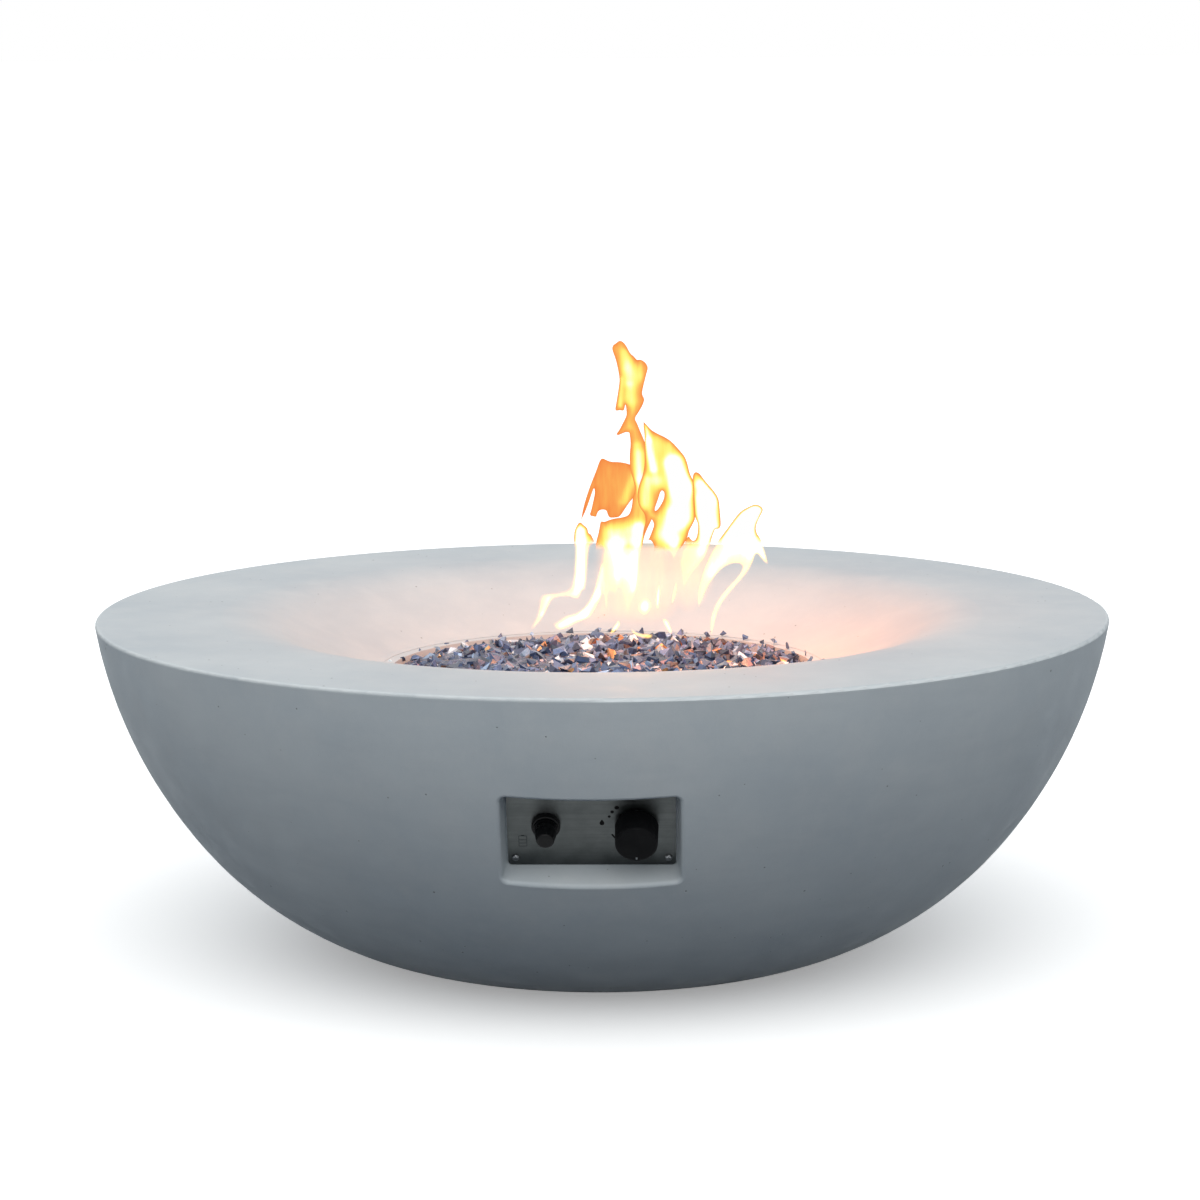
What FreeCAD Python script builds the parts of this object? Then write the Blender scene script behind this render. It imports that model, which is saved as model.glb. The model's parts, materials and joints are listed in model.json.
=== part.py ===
import FreeCAD, Part
import math
import os
import random
import Sketcher

# A free-standing round gas fire bowl, cast in fibre-reinforced concrete.
# Millimetres and degrees. +Z is up, the origin is the middle of the base ring on the
# ground, and the control recess faces -Y.

doc = FreeCAD.newDocument("fire_bowl")

# Driving sizes. Each one is a cell of the sheet with an alias of its own.
SIZES = {
    # Bowl: the wall is three tangent arcs, turned about Z
    "rim_radius": 533.5,
    "rim_lean": 9,
    "side_radius": 480,
    "side_turn": 31,
    "belly_radius": 380,
    "belly_turn": 25,
    "base_curve_radius": 325,
    "base_turn": 13,
    "shell_wall": 17,
    "rim_edge_radius": 3,
    "rim_width": 131.5,
    "lip_curve_radius": 150,
    "basin_slope": 25,
    "ledge_radius": 244,
    "ledge_width": 15,
    "ledge_step": 3.5,
    "ledge_thickness": 14,
    "base_ring_width": 39.8,
    "base_foot_width": 21.8,
    "cover_rebate_depth": 4,
    # Base cover under the bowl
    "cover_gap": 1.5,
    "cover_thickness": 1.5,
    "vent_count": 12,
    "vent_width": 9,
    "vent_margin": 47,
    "vent_inner_share": 0.5,
    "vent_corner_share": 0.45,
    "cover_screw_count": 6,
    # Control recess and its plate
    "panel_tilt": 28,
    "recess_depth": 35,
    "recess_side_draft": 8,
    "recess_rise_draft": 1.6,
    "recess_corner_radius": 6,
    "recess_edge_radius": 3.5,
    "recess_shell": 12,
    "recess_bite": 3.4,
    "mouth_overrun": 8,
    "mouth_corner_growth": 2,
    "drill_overrun": 10,
    "plate_width": 160,
    "plate_rise": 100,
    "plate_thickness": 1.5,
    "plate_gap": 1.5,
    "plate_corner_radius": 4,
    "plate_screw_inset": 7,
    "plate_screw_edge": 8.7,
    "window_width": 126,
    "window_rise": 66,
    "control_offset": 43,
    # Screws, one kind for plate, valve, cover and bracket
    "screw_radius": 2,
    "screw_head_radius": 3.6,
    "screw_head_thickness": 2.2,
    "screw_length": 10,
    "screw_clearance": 0.15,
    # Gas valve
    "valve_block": 34,
    "valve_corner_radius": 6,
    "valve_depth": 44,
    "valve_boss_radius": 11,
    "valve_boss_length": 12,
    "valve_inlet_depth": 30,
    "valve_port_radius": 6,
    "valve_port_length": 6,
    "valve_screw_offset": 12.5,
    "spring_pocket_radius": 7,
    "spring_pocket_depth": 10,
    "stem_radius": 4,
    "stem_reach": 28,
    "stem_tail": 20,
    "stem_flat": 1.4,
    "stem_collar_radius": 6.3,
    "stem_collar_thickness": 1.5,
    "push_rod_radius": 2,
    "push_rod_length": 16,
    "knob_travel": 4,
    "running_gap": 0.08,
    "seat_gap": 0.3,
    # Control knob
    "knob_radius": 20.75,
    "knob_front_radius": 20.2,
    "knob_back": 6.5,
    "knob_length": 26.5,
    "knob_edge_radius": 3,
    "knob_skirt": 3.2,
    "knob_hollow_depth": 9,
    "knob_hub_radius": 8,
    "knob_hub_back": 8.5,
    "knob_key_share": 0.7,
    "pointer_width": 1.8,
    "pointer_depth": 0.5,
    "pointer_start_share": 0.72,
    # Push-button igniter
    "igniter_radius": 11.6,
    "igniter_flange_radius": 14.5,
    "igniter_flange_thickness": 3,
    "igniter_front": 9.5,
    "igniter_depth": 62,
    "igniter_bore_radius": 8,
    "igniter_floor": 3,
    "igniter_nut_radius": 13.75,
    "igniter_nut_thickness": 6.3,
    "igniter_nut_edge_radius": 1.5,
    "igniter_terminal_radius": 2.5,
    "igniter_terminal_length": 6,
    "button_skirt_radius": 10,
    "button_skirt_end": 0.5,
    "button_radius": 10.5,
    "button_tip_radius": 8.6,
    "button_edge_radius": 3,
    "button_band": 3,
    "button_front": 28.3,
    "button_travel": 3,
    "battery_radius": 7.25,
    "battery_length": 50.5,
    "battery_start": 4.5,
    "battery_nub_radius": 2.7,
    "battery_nub_length": 1,
    "contact_spring_radius": 4.5,
    "spring_wall": 1.5,
    "spring_clearance": 0.5,
    "spring_end_gap": 0.1,
    # Burner pan and ring burner
    "pan_gap": 3,
    "pan_depth": 45,
    "pan_sheet": 1.5,
    "pan_bend_radius": 6,
    "drain_count": 6,
    "drain_radius": 4,
    "drain_margin": 38,
    "outer_ring_radius": 143,
    "inner_ring_radius": 66,
    "ring_tube_radius": 9.5,
    "spoke_share": 0.8,
    "ring_rise": 14,
    "outer_port_count": 24,
    "inner_port_count": 12,
    "port_radius": 1.5,
    "port_depth": 2.5,
    "hub_radius": 24,
    "hub_thickness": 26,
    "nipple_radius": 10.65,
    "nipple_length": 34,
    "nipple_bore_radius": 8,
    # Fire glass
    "glass_crown": 9,
    "glass_sink": 6,
    "glass_gap": 1,
    "glass_bed_drop": 2.5,
    "glass_overlap": 1.5,
    "glass_pitch": 22,
    "glass_relief": 2.6,
    "glass_scatter": 0.3,
    # Mixer, air shutter and orifice elbow under the pan
    "lock_nut_flats": 32,
    "lock_nut_thickness": 8,
    "mixer_radius": 14,
    "mixer_overlap": 15,
    "mixer_length": 72,
    "mixer_bore_radius": 9,
    "mixer_floor": 8,
    "mixer_collar_radius": 17,
    "mixer_collar_thickness": 4,
    "window_slot_width": 12,
    "window_slot_length": 20,
    "slot_corner_share": 0.4,
    "slot_cut": 30,
    "shutter_wall": 1.5,
    "shutter_length": 28,
    "orifice_shank_radius": 5,
    "orifice_shank_length": 12,
    "elbow_block": 26,
    "elbow_edge_radius": 3,
    # Flare spigots, hose nuts and hoses
    "spigot_radius": 7.94,
    "spigot_length": 14,
    "spigot_bore_radius": 3.5,
    "spigot_lip": 1,
    "spigot_nose": 3,
    "hose_nut_flats": 21,
    "hose_nut_length": 20,
    "hose_radius": 5,
    # Gas inlet through the rear wall
    "inlet_shank_radius": 10,
    "inlet_hole_gap": 0.5,
    "inlet_spotface_radius": 19,
    "inlet_spotface_depth": 1.5,
    "inlet_nut_seat_depth": 1,
    "inlet_flats": 27,
    "inlet_flange_thickness": 6,
    "inlet_nut_flats": 30,
    "inlet_nut_thickness": 8,
    # Spark electrode, thermocouple and their shield
    "pilot_side": 24,
    "pilot_front": 98,
    "pilot_spacing": 20,
    "bracket_length": 54,
    "bracket_width": 20,
    "bracket_thickness": 1.5,
    "bracket_corner_radius": 3,
    "bracket_screw_inset": 5,
    "electrode_radius": 4,
    "electrode_rise": 24,
    "electrode_drop": 24,
    "electrode_collar_radius": 5.5,
    "electrode_collar_thickness": 4,
    "pin_radius": 1.1,
    "pin_rise": 8,
    "pin_reach": 9,
    "thermocouple_radius": 3,
    "thermocouple_rise": 32,
    "thermocouple_drop": 18,
    "thermocouple_collar_radius": 4.5,
    "shield_length": 60,
    "shield_width": 26,
    "shield_rise": 42,
    "shield_sheet": 0.8,
    "shield_slot_width": 3,
    "shield_slot_length": 22,
    "shield_slot_pitch": 8,
    "shield_corner_radius": 3,
    "shield_slot_margin": 5,
    "shield_slot_corner_share": 0.4,
    "lead_radius": 1.2,
    "lead_nut_flats": 10,
    "lead_nut_length": 10,
    "wire_radius": 2,
    "bend_share": 0.45,
}

# Places that follow from the driving sizes
LAYOUT = {
    "side_angle": "Sizes.rim_lean + Sizes.side_turn",
    "belly_angle": "Layout.side_angle + Sizes.belly_turn",
    "base_angle": "Layout.belly_angle + Sizes.base_turn",
    "side_drop": "Sizes.side_radius * (sin(Layout.side_angle) - sin(Sizes.rim_lean))",
    "belly_drop": "Sizes.belly_radius * (sin(Layout.belly_angle) - sin(Layout.side_angle))",
    "base_drop": "Sizes.base_curve_radius * (sin(Layout.base_angle) - sin(Layout.belly_angle))",
    "rim_height": "Layout.side_drop + Layout.belly_drop + Layout.base_drop",
    "side_height": "Layout.belly_drop + Layout.base_drop",
    "side_reach": "Sizes.rim_radius - Sizes.side_radius * (cos(Sizes.rim_lean) - cos(Layout.side_angle))",
    "belly_reach": "Layout.side_reach"
                   " - Sizes.belly_radius * (cos(Layout.side_angle) - cos(Layout.belly_angle))",
    "base_reach": "Layout.belly_reach"
                  " - Sizes.base_curve_radius * (cos(Layout.belly_angle) - cos(Layout.base_angle))",
    "rim_edge": "Sizes.rim_edge_radius * tan(45 + Sizes.rim_lean / 2)",
    "lip_inner_radius": "Sizes.lip_curve_radius - Sizes.shell_wall",
    "lip_radius": "Sizes.rim_radius - Sizes.rim_width",
    "basin_reach": "Layout.lip_radius - Sizes.lip_curve_radius * sin(Sizes.basin_slope)",
    "basin_height": "Layout.rim_height - Sizes.lip_curve_radius * (1 - cos(Sizes.basin_slope))",
    "basin_foot": "Layout.basin_height - (Layout.basin_reach - Sizes.ledge_radius) * tan(Sizes.basin_slope)",
    "ledge_height": "Layout.basin_foot - Sizes.ledge_step",
    "burner_opening": "Sizes.ledge_radius - Sizes.ledge_width",
    "ledge_under": "Layout.ledge_height - Sizes.ledge_thickness",
    "under_reach": "Layout.lip_radius - Layout.lip_inner_radius * sin(Sizes.basin_slope)",
    "under_height": "Layout.rim_height - Sizes.lip_curve_radius"
                    " + Layout.lip_inner_radius * cos(Sizes.basin_slope)",
    "under_foot": "Layout.under_reach - (Layout.under_height - Layout.ledge_under) / tan(Sizes.basin_slope)",
    "inside_radius": "Sizes.side_radius - Sizes.shell_wall",
    "inside_rise": "Sizes.side_radius * sin(Sizes.rim_lean) + Sizes.shell_wall",
    "inside_reach": "Sizes.rim_radius - Sizes.side_radius * cos(Sizes.rim_lean)"
                    " + sqrt(Layout.inside_radius ^ 2 - Layout.inside_rise ^ 2)",
    "floor_top": "Sizes.shell_wall * sin(Layout.base_angle)",
    "knob_key_reach": "Sizes.knob_hub_radius * Sizes.knob_key_share",
    "knob_key_side": "Sizes.stem_radius * Sizes.knob_key_share",
    "knob_mark_start": "Sizes.knob_front_radius * Sizes.pointer_start_share",
    "base_opening": "Layout.base_reach - Sizes.base_ring_width",
    "cover_rebate": "Layout.base_reach - Sizes.base_foot_width",
    "cover_radius": "Layout.cover_rebate - Sizes.cover_gap",
    "cover_screw_circle": "(Layout.base_opening + Layout.cover_rebate) / 2",
    "vent_outer": "Layout.base_opening - Sizes.vent_margin",
    "vent_inner": "Layout.vent_outer * Sizes.vent_inner_share",
    "panel_reach": "Sizes.rim_radius - Sizes.side_radius * (cos(Sizes.rim_lean) - cos(Sizes.panel_tilt))"
                   " - Sizes.recess_depth * cos(Sizes.panel_tilt)",
    "panel_height": "Layout.rim_height - Sizes.side_radius * (sin(Sizes.panel_tilt) - sin(Sizes.rim_lean))"
                    " + Sizes.recess_depth * sin(Sizes.panel_tilt)",
    "recess_half_width": "Sizes.plate_width / 2 + Sizes.plate_gap",
    "recess_half_rise": "Sizes.plate_rise / 2 + Sizes.plate_gap * 2 / 3",
    "mouth": "Sizes.recess_depth + Sizes.mouth_overrun",
    "mouth_half_width": "Layout.recess_half_width + Layout.mouth * tan(Sizes.recess_side_draft)",
    "mouth_half_rise": "Layout.recess_half_rise + Layout.mouth * tan(Sizes.recess_rise_draft)",
    "mouth_corner": "Sizes.recess_corner_radius + Sizes.mouth_corner_growth",
    "plate_screw_x": "Sizes.plate_width / 2 - Sizes.plate_screw_inset",
    "plate_screw_y": "Sizes.plate_rise / 2 - Sizes.plate_screw_edge",
    "pan_radius": "Layout.burner_opening - Sizes.pan_gap",
    "pan_flange": "Sizes.ledge_radius - Sizes.pan_gap",
    "drain_circle": "Layout.pan_radius - Sizes.drain_margin",
    "pan_rim": "Layout.ledge_height + Sizes.pan_sheet",
    "pan_under": "Layout.pan_rim - Sizes.pan_depth",
    "pan_floor": "Layout.pan_under + Sizes.pan_sheet",
    "ring_height": "Layout.pan_floor + Sizes.ring_rise",
    "ring_clear": "Sizes.ring_rise + Sizes.ring_tube_radius + Sizes.glass_gap",
    "nipple_end": "Layout.pan_floor - Sizes.nipple_length",
    "mixer_top": "Layout.nipple_end + Sizes.mixer_overlap",
    "mixer_end": "Layout.mixer_top - Sizes.mixer_length",
    "shutter_start": "Layout.mixer_end + Sizes.mixer_collar_thickness + Sizes.seat_gap",
    "slot_height": "Layout.shutter_start + Sizes.shutter_length / 2",
    "elbow_height": "Layout.mixer_end - Sizes.elbow_block / 2",
    "glass_radius": "Layout.pan_radius - Sizes.pan_sheet - Sizes.seat_gap",
    "glass_bed": "Layout.pan_rim - Sizes.glass_sink - Sizes.glass_bed_drop",
    "inlet_reach": "Layout.side_reach",
    "inlet_height": "Layout.side_height",
}

ALONG_WALL = ("90 + Sizes.panel_tilt", "0 - Layout.panel_reach", "Layout.panel_height")
REAR_WALL = ("-90 - Layout.side_angle", "Layout.inlet_reach", "Layout.inlet_height")
UPRIGHT = ("0", "0", "0")

parts = []


def fill_sheet():
    sheet = doc.addObject("Spreadsheet::Sheet", "Sizes")
    for row, (name, size) in enumerate(SIZES.items(), 1):
        cell = "A%d" % row
        sheet.set(cell, str(size))
        sheet.setAlias(cell, name)
    doc.recompute()
    layout = doc.addObject("App::VarSet", "Layout")
    for name, rule in LAYOUT.items():
        layout.addProperty("App::PropertyFloat", name)
        layout.setExpression(name, rule)
    doc.recompute()
    return layout


layout = fill_sheet()


def number(rule):
    """The value of an expression over the sheet."""
    found = layout.evalExpression(str(rule))
    return float(getattr(found, "Value", found))


def bind(thing, **rules):
    for name, rule in rules.items():
        thing.setExpression(name, str(rule))


def keep(piece, label):
    piece.Label = label
    parts.append(piece)
    return piece


def seat(piece, frame, x="0", y="0", z="0"):
    """Place a piece in a frame: the recess, the rear inlet or upright."""
    turn, back, up = frame
    piece.Placement = FreeCAD.Placement(FreeCAD.Vector(), FreeCAD.Rotation(FreeCAD.Vector(1, 0, 0), 90))
    piece.setExpression("Placement.Rotation.Angle", turn)
    piece.setExpression("Placement.Base.x", x)
    piece.setExpression("Placement.Base.y", "%s + %s" % (back, y))
    piece.setExpression("Placement.Base.z", "%s + %s" % (up, z))
    return piece


# Sketch helpers

def sketch_on(body, name, role="XY_Plane", frame=None, out="0"):
    """A sketch on an origin plane of its body, or square to a frame's axis, out along it."""
    sketch = body.newObject("Sketcher::SketchObject", name)
    plane = [item for item in body.Origin.OriginFeatures if item.Role == role][0]
    sketch.AttachmentSupport = [(plane, "")]
    sketch.MapMode = "FlatFace"
    if frame is None:
        sketch.setExpression("AttachmentOffset.Base.z", out)
        return sketch
    turn, back, up = frame
    tilt = FreeCAD.Rotation(FreeCAD.Vector(1, 0, 0), 90)
    sketch.AttachmentOffset = FreeCAD.Placement(FreeCAD.Vector(), tilt)
    sketch.setExpression("AttachmentOffset.Rotation.Angle", turn)
    sketch.setExpression("AttachmentOffset.Base.y", "%s - (%s) * sin(%s)" % (back, out, turn))
    sketch.setExpression("AttachmentOffset.Base.z", "%s + (%s) * cos(%s)" % (up, out, turn))
    return sketch


def arc_through(start, end, radius, side):
    """The short arc from start to end, with its centre on the left or right of the way."""
    way = end - start
    middle = (start + end) / 2
    left = FreeCAD.Vector(-way.y, way.x, 0).normalize()
    away = math.sqrt(max(radius ** 2 - (way.Length / 2) ** 2, 0))
    centre = middle + left * (away if side == "left" else -away)
    first, last = (start, end) if side == "left" else (end, start)
    begin = math.atan2(first.y - centre.y, first.x - centre.x)
    finish = math.atan2(last.y - centre.y, last.x - centre.x)
    if finish < begin:
        finish += 2 * math.pi
    circle = Part.Circle(centre, FreeCAD.Vector(0, 0, 1), radius)
    return Part.ArcOfCircle(circle, begin, finish)


def point_rules(edge, end, x, y):
    """Constraints that tie a point of a sketch to two expressions, with the expressions."""
    rules = []
    for kind, axis, rule in (("DistanceX", -2, x), ("DistanceY", -1, y)):
        if rule == "0":
            rules.append((Sketcher.Constraint("PointOnObject", edge, end, axis), None))
        else:
            rules.append((Sketcher.Constraint(kind, -1, 1, edge, end, number(rule)), rule))
    return rules


def constrain(sketch, rules):
    """Add the constraints together, then bind each one that has an expression."""
    first = sketch.ConstraintCount
    sketch.addConstraint([constraint for constraint, rule in rules])
    for place, (constraint, rule) in enumerate(rules, first):
        if rule is not None:
            sketch.setExpression("Constraints[%d]" % place, rule)


def outline(sketch, corners):
    """A closed loop. A corner is (x, y), or (x, y, radius, side) where an arc leaves it."""
    points = [FreeCAD.Vector(number(corner[0]), number(corner[1]), 0) for corner in corners]
    edges = []
    for place, corner in enumerate(corners):
        start, end = points[place], points[(place + 1) % len(points)]
        if len(corner) == 2:
            edge = sketch.addGeometry(Part.LineSegment(start, end), False)
            edges.append((edge, 1, 2))
            continue
        edge = sketch.addGeometry(arc_through(start, end, number(corner[2]), corner[3]), False)
        edges.append((edge, 1, 2) if corner[3] == "left" else (edge, 2, 1))
    rules = []
    for place, corner in enumerate(corners):
        edge, start, end = edges[place]
        after = edges[(place + 1) % len(edges)]
        rules.append((Sketcher.Constraint("Coincident", edge, end, after[0], after[1]), None))
        rules += point_rules(edge, start, corner[0], corner[1])
        if len(corner) > 2:
            rules.append((Sketcher.Constraint("Radius", edge, number(corner[2])), corner[2]))
    constrain(sketch, rules)


def rounded(sketch, half_x, half_y, radius, x="0", y="0"):
    """A rectangle with round corners, about (x, y)."""
    left, right = "(%s) - (%s)" % (x, half_x), "(%s) + (%s)" % (x, half_x)
    low, high = "(%s) - (%s)" % (y, half_y), "(%s) + (%s)" % (y, half_y)
    inset = " + (%s)" % radius
    outset = " - (%s)" % radius
    outline(sketch, [
        (left + inset, low), (right + outset, low, radius, "left"),
        (right, low + inset), (right, high + outset, radius, "left"),
        (right + outset, high), (left + inset, high, radius, "left"),
        (left, high + outset), (left, low + inset, radius, "left")])


def rectangle(sketch, left, right, low, high):
    outline(sketch, [(left, low), (right, low), (right, high), (left, high)])


def circle(sketch, radius, x="0", y="0"):
    centre = FreeCAD.Vector(number(x), number(y), 0)
    edge = sketch.addGeometry(Part.Circle(centre, FreeCAD.Vector(0, 0, 1), number(radius)), False)
    rules = point_rules(edge, 3, x, y)
    rules.append((Sketcher.Constraint("Radius", edge, number(radius)), radius))
    constrain(sketch, rules)


# Feature helpers

def new_body(label):
    return keep(doc.addObject("PartDesign::Body", label), label)


def pad(body, sketch, length, back=False):
    feature = body.newObject("PartDesign::Pad", sketch.Name + "_pad")
    feature.Profile = sketch
    feature.setExpression("Length", length)
    feature.Reversed = back
    return feature


def pocket(body, sketch, depth, forward=False):
    """Cut against the sketch's normal, or along it where forward."""
    feature = body.newObject("PartDesign::Pocket", sketch.Name + "_pocket")
    feature.Profile = sketch
    feature.setExpression("Length", depth)
    feature.Reversed = forward
    return feature


def around(body, feature, count, angle="360"):
    pattern = body.newObject("PartDesign::PolarPattern", feature.Name + "_round")
    pattern.Originals = [feature]
    axis = [item for item in body.Origin.OriginFeatures if item.Role == "Z_Axis"][0]
    pattern.Axis = (axis, [""])
    pattern.setExpression("Angle", angle)
    pattern.setExpression("Occurrences", count)
    body.Tip = pattern
    return pattern


def turned(label, corners, frame=UPRIGHT, x="0"):
    """A body turned about its own Z axis, from (radius, height) corners."""
    body = new_body(label)
    sketch = sketch_on(body, label + "_profile", "XZ_Plane")
    outline(sketch, corners)
    turn = body.newObject("PartDesign::Revolution", label + "_turn")
    turn.Profile = sketch
    turn.ReferenceAxis = (sketch, ["V_Axis"])
    turn.Angle = 360
    return seat(body, frame, x)


def rod(name, radius, start, length, frame=UPRIGHT, x="0"):
    cylinder = doc.addObject("Part::Cylinder", name)
    bind(cylinder, Radius=radius, Height=length)
    turn = frame[0]
    if frame is UPRIGHT:
        return seat(cylinder, frame, x, "0", start)
    back, up = "(%s) * cos(%s + 90)" % (start, turn), "(%s) * sin(%s + 90)" % (start, turn)
    return seat(cylinder, frame, x, back, up)


def hexagon(name, flats, start, length, frame=UPRIGHT, x="0"):
    prism = doc.addObject("Part::Prism", name)
    prism.Polygon = 6
    bind(prism, Circumradius="(%s) / 2 / cos(30)" % flats, Height=length)
    turn = frame[0]
    if frame is UPRIGHT:
        return seat(prism, frame, x, "0", start)
    back, up = "(%s) * cos(%s + 90)" % (start, turn), "(%s) * sin(%s + 90)" % (start, turn)
    return seat(prism, frame, x, back, up)


def cut(label, base, tool):
    feature = doc.addObject("Part::Cut", label)
    feature.Base = base
    feature.Tool = tool
    return feature


def fuse(label, pieces):
    feature = doc.addObject("Part::MultiFuse", label)
    feature.Shapes = pieces
    return feature


def group(label, shapes):
    """Separate solids of one kind in one node."""
    feature = doc.addObject("Part::Feature", label)
    feature.Shape = Part.makeCompound(shapes)
    return keep(feature, label)


def frame_placement(frame, x=0.0, y=0.0, z=0.0):
    """The placement of a point (x, y, z) of a frame, with the frame's own turn."""
    turn, back, up = (number(rule) for rule in frame)
    tilt = FreeCAD.Rotation(FreeCAD.Vector(1, 0, 0), turn)
    return FreeCAD.Placement(FreeCAD.Vector(0, back, up) + tilt.multVec(FreeCAD.Vector(x, y, z)), tilt)


def placed(shape, placement):
    copy = shape.copy()
    copy.Placement = placement.multiply(shape.Placement)
    return copy


def pan_head_screw():
    """A screw along -Z with its head's seat at z = 0."""
    radius = number("Sizes.screw_radius")
    head = number("Sizes.screw_head_radius")
    crown = number("Sizes.screw_head_thickness")
    length = number("Sizes.screw_length")
    points = [(0, -length), (radius * 0.6, -length), (radius, -length + radius), (radius, 0), (head, 0),
              (head, crown * 0.45), (head * 0.8, crown * 0.85), (head * 0.45, crown), (0, crown)]
    wire = Part.makePolygon([FreeCAD.Vector(x, 0, z) for x, z in points + points[:1]])
    screw = Part.Face(wire).revolve(FreeCAD.Vector(), FreeCAD.Vector(0, 0, 1), 360)
    slot = Part.makeBox(head * 1.1, 0.9, crown, FreeCAD.Vector(-head * 0.55, -0.45, crown * 0.4))
    cross = slot.copy()
    cross.rotate(FreeCAD.Vector(), FreeCAD.Vector(0, 0, 1), 90)
    return screw.cut(slot).cut(cross)


# The bowl

def bowl_shell():
    body = new_body("bowl_shell")
    sketch = sketch_on(body, "bowl_profile", "XZ_Plane")
    side, belly, base = "Layout.side_angle", "Layout.belly_angle", "Layout.base_angle"
    wall = "Sizes.shell_wall"
    outline(sketch, [
        ("Layout.base_reach", "0", "Sizes.base_curve_radius", "left"),
        ("Layout.belly_reach", "Layout.base_drop", "Sizes.belly_radius", "left"),
        ("Layout.side_reach", "Layout.side_height", "Sizes.side_radius", "left"),
        ("Sizes.rim_radius - Layout.rim_edge * sin(Sizes.rim_lean)",
         "Layout.rim_height - Layout.rim_edge * cos(Sizes.rim_lean)", "Sizes.rim_edge_radius", "left"),
        ("Sizes.rim_radius - Layout.rim_edge", "Layout.rim_height"),
        ("Layout.lip_radius", "Layout.rim_height", "Sizes.lip_curve_radius", "left"),
        ("Layout.basin_reach", "Layout.basin_height"),
        ("Sizes.ledge_radius", "Layout.basin_foot"),
        ("Sizes.ledge_radius", "Layout.ledge_height"),
        ("Layout.burner_opening", "Layout.ledge_height"),
        ("Layout.burner_opening", "Layout.ledge_under"),
        ("Layout.under_foot", "Layout.ledge_under"),
        ("Layout.under_reach", "Layout.under_height", "Layout.lip_inner_radius", "right"),
        ("Layout.lip_radius", "Layout.rim_height - " + wall),
        ("Layout.inside_reach", "Layout.rim_height - " + wall, "Layout.inside_radius", "right"),
        ("Layout.side_reach - %s * cos(%s)" % (wall, side),
         "Layout.side_height + %s * sin(%s)" % (wall, side), "Sizes.belly_radius - " + wall, "right"),
        ("Layout.belly_reach - %s * cos(%s)" % (wall, belly),
         "Layout.base_drop + %s * sin(%s)" % (wall, belly), "Sizes.base_curve_radius - " + wall, "right"),
        ("Layout.base_reach - %s * cos(%s)" % (wall, base), "Layout.floor_top"),
        ("Layout.base_opening", "Layout.floor_top"),
        ("Layout.base_opening", "Sizes.cover_rebate_depth"),
        ("Layout.cover_rebate", "Sizes.cover_rebate_depth"),
        ("Layout.cover_rebate", "0")])
    turn = body.newObject("PartDesign::Revolution", "bowl_turn")
    turn.Profile = sketch
    turn.ReferenceAxis = (sketch, ["V_Axis"])
    turn.Angle = 360

    box = sketch_on(body, "recess_box", frame=ALONG_WALL, out="0 - Sizes.recess_shell")
    shell = " + Sizes.recess_shell"
    rounded(box, "Layout.recess_half_width" + shell, "Layout.recess_half_rise" + shell,
            "Sizes.recess_corner_radius" + shell)
    pad(body, box, "Sizes.recess_shell + Sizes.recess_depth - Sizes.shell_wall + Sizes.recess_bite")

    floor = sketch_on(body, "recess_floor", frame=ALONG_WALL)
    rounded(floor, "Layout.recess_half_width", "Layout.recess_half_rise", "Sizes.recess_corner_radius")
    mouth = sketch_on(body, "recess_mouth", frame=ALONG_WALL, out="Layout.mouth")
    rounded(mouth, "Layout.mouth_half_width", "Layout.mouth_half_rise", "Layout.mouth_corner")
    recess = body.newObject("PartDesign::SubtractiveLoft", "recess_cut")
    recess.Profile = floor
    recess.Sections = [mouth]
    recess.Ruled = True

    window = sketch_on(body, "recess_window", frame=ALONG_WALL)
    rounded(window, "Sizes.window_width / 2", "Sizes.window_rise / 2", "Sizes.recess_corner_radius")
    pocket(body, window, "Sizes.recess_shell * 2")
    anchors = sketch_on(body, "plate_anchors", frame=ALONG_WALL)
    for x in ("Layout.plate_screw_x", "0 - Layout.plate_screw_x"):
        for y in ("Layout.plate_screw_y", "0 - Layout.plate_screw_y"):
            circle(anchors, "Sizes.screw_radius + Sizes.screw_clearance", x, y)
    pocket(body, anchors, "Sizes.screw_length")

    anchor = sketch_on(body, "cover_anchor", out="Sizes.cover_rebate_depth")
    circle(anchor, "Sizes.screw_radius + Sizes.screw_clearance", "Layout.cover_screw_circle")
    around(body, pocket(body, anchor, "Sizes.screw_length", forward=True), "Sizes.cover_screw_count")

    hole = sketch_on(body, "inlet_hole", frame=REAR_WALL, out="Sizes.drill_overrun")
    circle(hole, "Sizes.inlet_shank_radius + Sizes.inlet_hole_gap")
    pocket(body, hole, "Sizes.shell_wall + Sizes.drill_overrun * 2")
    outer = sketch_on(body, "inlet_spotface", frame=REAR_WALL, out="0 - Sizes.inlet_spotface_depth")
    circle(outer, "Sizes.inlet_spotface_radius")
    pocket(body, outer, "Sizes.drill_overrun", forward=True)
    inner = sketch_on(body, "inlet_nut_seat", frame=REAR_WALL,
                      out="Sizes.inlet_nut_seat_depth - Sizes.shell_wall")
    circle(inner, "Sizes.inlet_spotface_radius")
    pocket(body, inner, "Sizes.drill_overrun")
    soften_mouth(body)
    return seat(body, UPRIGHT)


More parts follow.
